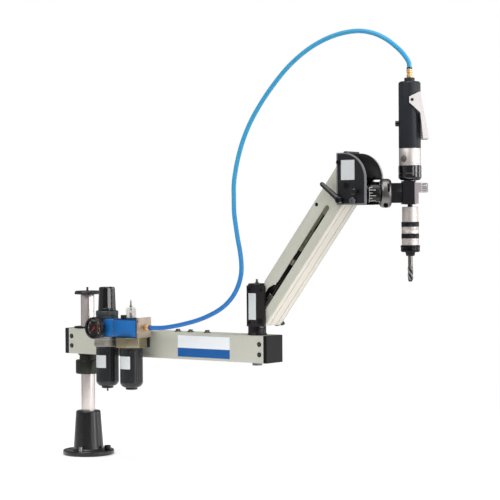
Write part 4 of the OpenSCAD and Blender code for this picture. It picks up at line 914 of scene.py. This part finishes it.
# Head. Two steel cheeks with a raised rim, straight at the arm and round at the tool, are
# joined by a hood. It is all sprayed dark, and the rims are a paler grey. The rear cheek's
# rim and edge are painted paler still, a painted highlight where they catch the light.
head_grey = enamel("head_grey", (30, 31, 33), 0.34, 1.6, 0.05, 0.08, (120, 118, 116))
rim_grey = enamel("rim_grey", (120, 121, 124), 0.34, 1.6, 0.04, 0.08, (150, 148, 146))
edge_painted_highlight = enamel("edge_painted_highlight", (188, 188, 186), 0.34, 1.6, 0.04, 0.08, (220, 218, 216))
hood_black = enamel("hood_black", (6, 5, 7), 0.5, 1.6, 0.03, 0.1, Specular_IOR_Level=0.08)
head_left = 741.08
head_bottom = 585.75
round_x = 757.08
round_z = 639.75
round_r = 56
cheek_cut_x = 790.08
cheek_cut_z = 638.75


def cheek_outline(inset, cut_away):
    """Outline of a cheek in x and z, drawn in by an inset."""
    r = round_r - inset
    low = head_bottom + inset
    left = head_left + inset
    centre = (round_x, round_z)
    if cut_away:
        x = cheek_cut_x - inset
        z = cheek_cut_z + inset
        flat = degrees(asin((z - round_z) / r)) if z > round_z else 0
        step = (90 - flat) / 30
        return [(left, low), (x, low), (x, z), (round_x + sqrt(r * r - (z - round_z) ** 2), z),
                *arc(centre, r, flat + step, step, 30), (left, round_z + r)]
    return [(left, low), (round_x + r, low), *arc(centre, r, 0, 3, 31), (left, round_z + r)]


head_pin = (765.08, 626.75)
lever_spot = (753.08, 595.75)
index_spot = (790.08, 613.25)
swivel_x = 808.08
face = 36
cheeks = []
for side in (-1, 1):
    outline = cheek_outline(0, side > 0)
    holes = [ring_of(bore, 40, head_pin)]
    if side < 0:
        holes += [ring_of(4.05, 24, index_spot),
                  ring_of(3.05, 24, lever_spot), ring_of(1.6, 20, (748.4, 636.2))]
    sheet_part = slab(outline, 30.4, 34.9, holes)
    # The rear cheek's edge faces, like its rim, take the painted highlight
    for sheet_face in sheet_part.faces:
        if abs(sheet_face.normal.z) < 0.5:
            sheet_face.material_index = 2 if side > 0 else 1
    rim = soften(slab(outline, 34.9, face, [cheek_outline(2.6, side > 0)[::-1]]), 0.4, 3)
    lie = Matrix(((1, 0, 0), (0, 0, side), (0, 1, 0))).to_4x4()
    cheeks += [moved(soften(sheet_part, 0.3, 1), lie),
               moved(painted(rim, 2 if side > 0 else 1), lie)]
stand_in("head_cheeks", joined(*cheeks), [head_grey, rim_grey, edge_painted_highlight], "head")
dress("head_hood", hood_black, 1.0, 3)
piece("head_label", block(752, 786, -35.2, -34.8, 638, 680, 0.12, 1), label_pale, "head",
      "head_cheeks")
ridge = rod(3.4, -26.5, 26.5, 32, 0.8)
piece("head_ridge", moved(ridge, (756, 0, 695.8), facing), head_grey, "head", "head_hood")
face_screw = head_screw(8, 3, 3.4)
corner_screw = head_screw(5, 3, 2.5)
head_pins = [
    moved(rod(7, -36.4, 36.4, 48, 0.8), (head_pin[0], 0, head_pin[1]), facing),
    painted(moved(face_screw, (782.08, -face, 593.75), facing), 1),
    moved(corner_screw, (746.58, -face, 675.75), facing),
    moved(rod(4, -8, 13, 32), (751.93, 4.0, 653.71), turn(-90, "X")),
    moved(solid([(5.4, 585.75), (6, 586.4), (6, 633), (5.4, 633.55)]), (swivel_x, 0, 0))]
stand_in("head_pins", joined(*head_pins), [screw_black, shaft_steel], "head")

# Clamping lever. Black-lacquered steel, one tapered arm with a round end, held in its hub by a
# socket screw. Next to it is the index pin's turned black knob.
lacquer = moulded("lacquer", (16, 16, 18), 0.16, 1.5, 0.008, 0.1, coat=(0.4, 0.08))
lever_hub = (lever_spot[0], -face - 0.2, lever_spot[1])
hub = cut(solid([(6.4, 0), (7, 0.6), (7, 12.6), (6, 14)]), rod(4.2, 11, 15, 32))
lever_screw = moved(head_screw(3.9, 2.6, 2.0), (0, 0, 11))
arm_taper = solid([
    (6.6, 0), (6.4, 4), (5.6, 30), (5.1, 50), (4.9, 55), (4.3, 57.6), (3.1, 59.4), (1.6, 60)])
lever_body = joined(
    moved(hub, lever_hub, facing), painted(moved(lever_screw, lever_hub, facing), 1),
    moved(arm_taper, lever_hub, (0, -7, 0), turn(-142, "Y"), turn(90, "Y")),
    painted(moved(rod(3, -6, 0), lever_hub, facing), 1))
stand_in("clamp_lever", lever_body, [lacquer, screw_black], "lever")
index_body = solid([(4, -5.8), (4, 0), (5, 0.2), (6, 2.6), (6.2, 3.4), (7.1, 4.4),
                    (7.5, 6), (7.5, 9.2), (6.9, 11), (5.4, 12)], 64, fluted(18, 0.25, 4.6, 10.8))
stand_in("index_knob", moved(index_body, (index_spot[0], -face - 0.2, index_spot[1]), facing),
         lacquer, "index")

# Tool arm. A black drum with a white tilt scale turns on the head's upright pin, and a silver
# split clamp grips its spigot. The black bar and holder carry the motor.
tool_frame = Matrix.Translation((swivel_x, 0, 609.75)) @ turn(36.7, "Z")
drum_black = enamel("drum_black", (22, 22, 25), 0.28, 1.0, 0.01, 0.08, coat=(0.15, 0.14))
anodised = steel("anodised", (118, 116, 115), 0.36, 2.5, (1, 1, 3), 0.02, mottle=0.18)
jaw_grey = steel("jaw_grey", (198, 190, 192), 0.42, 3, (1, 1, 3), 0.006, mottle=0.06)
nut_grey = steel("nut_grey", (168, 166, 167), 0.4, 2, (3, 0.5, 0.5), 0.008, mottle=0.08)
scale_white = moulded("scale_white", (220, 220, 216), 0.5, 0.6, 0.004, 0.03)
holder_black = enamel("holder_black", (24, 24, 27), 0.3, 1.2, 0.02, 0.1, (96, 96, 98))
dress("swivel_drum", drum_black)
marks = []
mark_start = -7.5
for k in range(-3, 4):
    length = 6 if k % 2 else 13
    mark = block(mark_start, mark_start + length, -0.45, 0.45, 23.0, 23.4)
    marks += [moved(mark.copy(), tool_frame, turn(90 * side + 15 * k + 14, "X"))
              for side in (-1, 1)]
    mark.free()
for side in (-1, 1):
    line = slab(strip(23.4, 23.0, -31, 4.5, 21), mark_start - 0.9, mark_start)
    marks.append(moved(line, tool_frame, turn(-90 * side + 180, "X"),
                       turn(90, "Y"), turn(180 if side > 0 else 0, "Z")))
piece("drum_scale", joined(*marks), scale_white, "swivel", "swivel_drum")
clamp_ring = turned([(12.05, 14), (21.5, 14), *arc((21.5, 23), 9, -90, 10, 10),
                     *arc((22.5, 31.5), 8, 0, 10, 10), (12.05, 39.5)], 96, loop=True)
# A round cutter hollows the clamp's back, two more open its bore and its split, and the last
# one sinks a pocket in its front
clamp_ring = cut(
    moved(clamp_ring, turn(90, "Y")), moved(rod(92, -70, 70, 256), (-73, 0, 0), turn(90, "X")),
    moved(rod(23.6, 12, 19.4, 96), turn(90, "Y")),
    block(10, 45, -1, 1, -40, 0), block(29.5, 34.5, -40, -24.5, 2, 20))
# Painted shade: a black plate lines the pocket's floor, where the recess is dark
clamp_pocket_shade = painted(block(29.4, 34.6, -25, -23.8, 1.9, 20.1), 1)
stand_in("roll_clamp", moved(joined(soften(clamp_ring, 0.5, 2, 40), clamp_pocket_shade), tool_frame),
         [anodised, holder_black], "tool_arm")
dress("tool_bar", holder_black, 0.8)
dress("tool_clamp", holder_black, 1.2, 3)
dress("clamp_jaw", jaw_grey, 1.0, 3)
clamp_screw = moved(head_screw(5, 5, 2.5), tool_frame, (26.3, -17.6, -26), facing)
piece("clamp_screw", clamp_screw, screw_black, "tool_arm", "roll_clamp")
nut_body = joined(solid([(9, 0), (10.2, 1.2), (10.2, 12.4), (9, 13.8), (5.2, 13.8), (4.6, 13)],
                        144, fluted(14, 1.2, 0.8, 12.8, 0.45)), rod(3, -5.2, 0))
stand_in("thumb_nut", moved(nut_body, tool_frame, (102.6, 0, 11), turn(90, "Y")), nut_grey,
         "holder_nut")

# Air motor. Its glossy black nose, satin ring and rubber-coated grip stand on one axis. A
# bright pressed lever lies down its back, and a round button opposite reverses it.
motor_frame = tool_frame @ Matrix.Translation((79, 0, 0))
nose_black = moulded("nose_black", (14, 13, 16), 0.16, 1.2, 0.004, 0.06, coat=(1.0, 0.18))
grip_black = moulded("grip_black", (30, 34, 40), 0.46, 1.1, 0.06)
bright_plate = steel(
    "bright_plate", (242, 237, 235), 0.4, 4, (1, 1, 0.2), 0.004, mottle=0.03, Metallic=0.45)
nose = solid([
    (12.4, -24), (13, -23.4), (13, 27), (19.2, 27), (20.2, 27.6), (23.4, 30.8), (24.2, 32.6),
    (24.2, 40), (23.7, 40.6), (23.7, 42), (24.2, 42.6), (24.2, 56.6), (23.4, 57.4)], 112)
nose = cut(nose, rod(5.25, -26, -10, 40))
stand_in("motor_nose", moved(nose, motor_frame), nose_black, "tool_arm")
ring = solid([(22.4, 57.4), (23, 58), (23, 60.4),
              (22.6, 60.8), (22.6, 61.6), (23, 62), (23, 92.4), (22.4, 93.4), (22.4, 94)], 112)
spot_place = (Matrix.Translation((0, 0, 71.5)), turn(-130, "Z"), turn(90, "Y"))
spot = moved(rod(7.8, 22.3, 25, 48), *spot_place)
spot_grey = steel("spot_grey", (120, 116, 114), 0.55, 1.5)
spot_dot = moved(solid([(7.4, 21), (7.4, 22.4), (7, 22.6)]), *spot_place)
stand_in("motor_ring", moved(joined(cut(ring, spot), painted(spot_dot, 1)), motor_frame),
         [satin_silver, spot_grey], "tool_arm")
dress("motor_grip", grip_black, 1.4, 3)
dress("throttle_lever", bright_plate, 0.35)
dress("reverse_button", lacquer, 0.8, 3)
ferrule_black = moulded("ferrule_black", (28, 28, 30), 0.4)
inlet = joined(
    soften(slab(ring_of(6.0, 6), 242, 249), 0.4), rod(4.6, 249, 252, 32),
    solid([(5.4, 252), (6.2, 252.8), (6.2, 255), (5.7, 255.6), (5.7, 256.4), (6.2, 257),
           (6.2, 260.2), (5.6, 261)]),
    painted(solid([(5.3, 261), (6, 261.6), (6, 263.4), (5.4, 264)]), 1))
stand_in("inlet_fitting", moved(inlet, motor_frame), [brass, ferrule_black], "tool_arm")

# Quick-change chuck. Turned steel in satin chrome with two black knurled bands, and a black
# sleeve below that frees the tap when it is pulled.
knurl_black = steel("knurl_black", (48, 48, 50), 0.34, 1.5, depth=0.01, mottle=0.14)
sleeve_black = steel("sleeve_black", (38, 38, 41), 0.3, 2, (0.3, 0.3, 3), 0.008, mottle=0.12)
chuck_top = -29
spans = [31.7, 10.4, 14.1, 10.4, 13.9, 18.9]
levels = [chuck_top]
for span in spans:
    levels.append(levels[-1] - span)
z0, z1, z2, z3, z4, z5 = levels[1:]


def knurl(top, bottom):
    """Band with fine upright ribs and a plain edge above and below."""
    profile = [
        (16.8, top), (18, top), (18.6, top - 0.6), (18.6, top - 1.4), (18.6, top - 1.8),
        (18.6, bottom + 1.8), (18.6, bottom + 1.4), (18.6, bottom + 0.6), (18, bottom),
        (16.8, bottom)]
    return turned(profile, 240, fluted(48, 0.6, bottom + 1.5, top - 1.5), loop=True)


chuck = joined(
    painted(rod(5.2, -10.5, chuck_top, 48), 1),
    solid([(16.2, chuck_top), (17, chuck_top - 0.8), (17, -36), (16.6, -36.4), (16.6, -37.6),
           (17, -38), (17, z0 + 0.1)], 112),
    solid([(17, z0), (17, z1), (18.1, z1), (18.1, z1 - 6), (17.8, z1 - 6.5), (17.8, z1 - 7.7),
           (18.1, z1 - 8.2), (18.1, z2), (17, z2), (17, z3), (18, z3), (18, z3 - 4.6),
           (17.6, z3 - 5), (17.6, z3 - 6), (18, z3 - 6.4), (18, z4)], 112),
    painted(solid([(13.9, z4), (13.9, z5 + 4.2), (10.4, z5 + 3.8), (9.6, z5), (8.8, z5 - 3.4),
                   (8.2, z5 - 4), (5.1, z5 - 4), (5.1, z5 + 15)], 96), 1),
    painted(knurl(z0, z1), 1), painted(knurl(z2, z3), 1))
stand_in("chuck_body", moved(chuck, motor_frame), [satin_silver, knurl_black], "spindle")
sleeve = turned([(13.95, -124.3), (17.8, -124.3), (19.7, -122.4), (20.3, -120.6), (19.9, -119),
                 (19.9, -115.2), (20.5, -114.6), (20.5, -111.2), (19.2, -109.8), (13.95, -109.8)],
                144, fluted(36, 0.35, -118.9, -115.3), loop=True)
stand_in("chuck_sleeve", moved(sleeve, motor_frame), sleeve_black, "sleeve")

# Tap. High-speed steel, oxidised dark, with three spiral flutes ground through its thread and
# a short lead at the tip.
tap_axis = motor_frame.translation
tap_look = look("tap_steel")
tap_x, tap_y = tap_look.axes((tap_axis.x, tap_axis.y, 0))[:2]
tap_land = ((tap_x * tap_x + tap_y * tap_y).power(0.5)).above(4.55, 0.7)
tap_grain = tap_look.noise(1.5, 4, (0.4, 0.4, 3), 0.65)
tap_hue = tap_look.mix(tap_land * 0.85 + tap_grain * 0.15, tint(20, 19, 20), tint(126, 123, 122))
tap_steel = tap_look.shade(tap_hue, tap_grain * 0.2 + 0.2, tap_grain, 0.008, Metallic=0.9)
tap_low = -186.4
tap_high = -132.4
thread_pitch = 1.75
thread_l = 30.5
flute_twist = radians(9)
tap_body = bmesh.new()
tap_rings = []
tap_steps = 42
tap_slice = 0.35
tap_levels = [tap_high + 18, tap_high - 1]
tap_levels += [tap_low + thread_l + 1 - k * tap_slice for k in range(90)]
tap_levels = [z for z in tap_levels if z > tap_low] + [tap_low]
for z in tap_levels:
    height = z - tap_low
    ringed = []
    for k in range(tap_steps):
        a = 2 * pi * k / tap_steps
        if height > thread_l:
            r = 5
        else:
            lead = min(1, 0.62 + height * 0.38 / 6)
            ridge = abs((z / thread_pitch + a / (2 * pi)) % 1 - 0.5) * 2
            trough = max(0, cos(3 * (a + flute_twist * height)) + 0.1) / 1.1
            r = 6 * lead - 0.4 * ridge * (1 - trough) - 2.8 * trough ** 0.7
        ringed.append(tap_body.verts.new((r * cos(a), r * sin(a), z)))
    tap_rings.append(ringed)
for high, low in zip(tap_rings, tap_rings[1:]):
    for k in range(tap_steps):
        n = (k + 1) % tap_steps
        tap_body.faces.new((low[k], low[n], high[n], high[k]))
tap_body.faces.new(tap_rings[0])
tap_body.faces.new(tap_rings[-1][::-1])
stand_in("tap", moved(tap_body, motor_frame), tap_steel, "spindle", sharp=50)

# Studio. A pale matt floor fades out to a white background. Three narrow lamps stand on the
# right and behind it, a wide one hangs high in front, and daylight falls from above. The room
# glows strongly from the right and half as much from the left.
floor_look = look("floor_pale")
floor_centre = (400, 0, 0)
floor_x, floor_y = floor_look.axes(floor_centre)[:2]
floor_far = (floor_x * floor_x + floor_y * floor_y).power(0.5)
floor_hue = floor_look.mix(floor_look.noise(900, 2), (0.94, 0.94, 0.94), (0.97, 0.97, 0.97))
floor_pale = floor_look.shade(
    floor_hue, 0.7, Alpha=1 - floor_far.above(1050, 900),
    Specular_IOR_Level=0.1, Emission_Color=(1.0, 1.0, 1.0), Emission_Strength=0.16)
floor_body = rod(1600, -2, -0.5, 64)
floor_body.transform(Matrix.Scale(0.001, 4) @ Matrix.Translation(floor_centre))
floor_mesh = bpy.data.meshes.new("studio_floor")
floor_body.to_mesh(floor_mesh)
floor_mesh.materials.append(floor_pale)
shown("studio_floor", floor_mesh)


def softbox(name, spot, aim, width, height, power):
    """Large soft lamp at a spot, in metres, that looks at the aim."""
    lamp = bpy.data.lights.new(name, "AREA")
    lamp.shape = "RECTANGLE"
    lamp.size = width
    lamp.size_y = height
    lamp.energy = power
    way = (Vector(aim) - Vector(spot)).to_track_quat("-Z", "Y")
    shown(name, lamp).matrix_world = Matrix.Translation(spot) @ way.to_matrix().to_4x4()


softbox("key_right", (2.9, 0.35, 1.1), (0.5, 0, 0.5), 0.6, 2.2, 28)
softbox("rim_right", (2.1, 2.1, 1.1), (0.5, 0, 0.5), 0.4, 2.0, 13)
softbox("strip_right", (2.75, -0.85, 1.1), (0.124, -0.07, 0.4), 0.3, 1.8, 12)
softbox("fill_front", (0.3, -2.3, 2.5), (0.45, 0, 0.45), 2.4, 1.6, 38)
daylight = bpy.data.lights.new("overhead", "SUN")
daylight.energy = 1.8
daylight.angle = radians(50)
overhead = shown("overhead", daylight)
overhead.matrix_world = Matrix.Translation((0, 0, 3)) @ turn(8, "X") @ turn(6, "Y")
sky = bpy.data.worlds.new("studio_white")
bpy.context.scene.world = sky
sky_look = Finish(sky)
eye_ray = sky_look.node("LightPath").outputs["Is Camera Ray"]
seen = sky_look.node("Background", {}, {0: (1.0, 1.0, 1.0), 1: 1.0})
direction = sky_look.node("SeparateXYZ", {}, {0: sky_look.node("TexCoord").outputs["Generated"]})
east = Value(sky_look, direction.outputs[0])
north = Value(sky_look, direction.outputs[1])
sideways = east * 0.8 + north * 0.6
panels = sideways.above(0.7, 0.4) + (0 - sideways).above(0.7, 0.4) * 0.5
glow = sky_look.mix(panels, (0.26, 0.258, 0.256), (0.92, 0.91, 0.905))
lit = sky_look.node("Background", {}, {0: glow, 1: 0.8})
mixed = sky_look.node("MixShader", {}, {0: eye_ray, 1: lit.outputs[0], 2: seen.outputs[0]})
sky_look.node("OutputWorld", {}, {0: mixed.outputs[0]})
bpy.context.scene.view_settings.view_transform = "Standard"
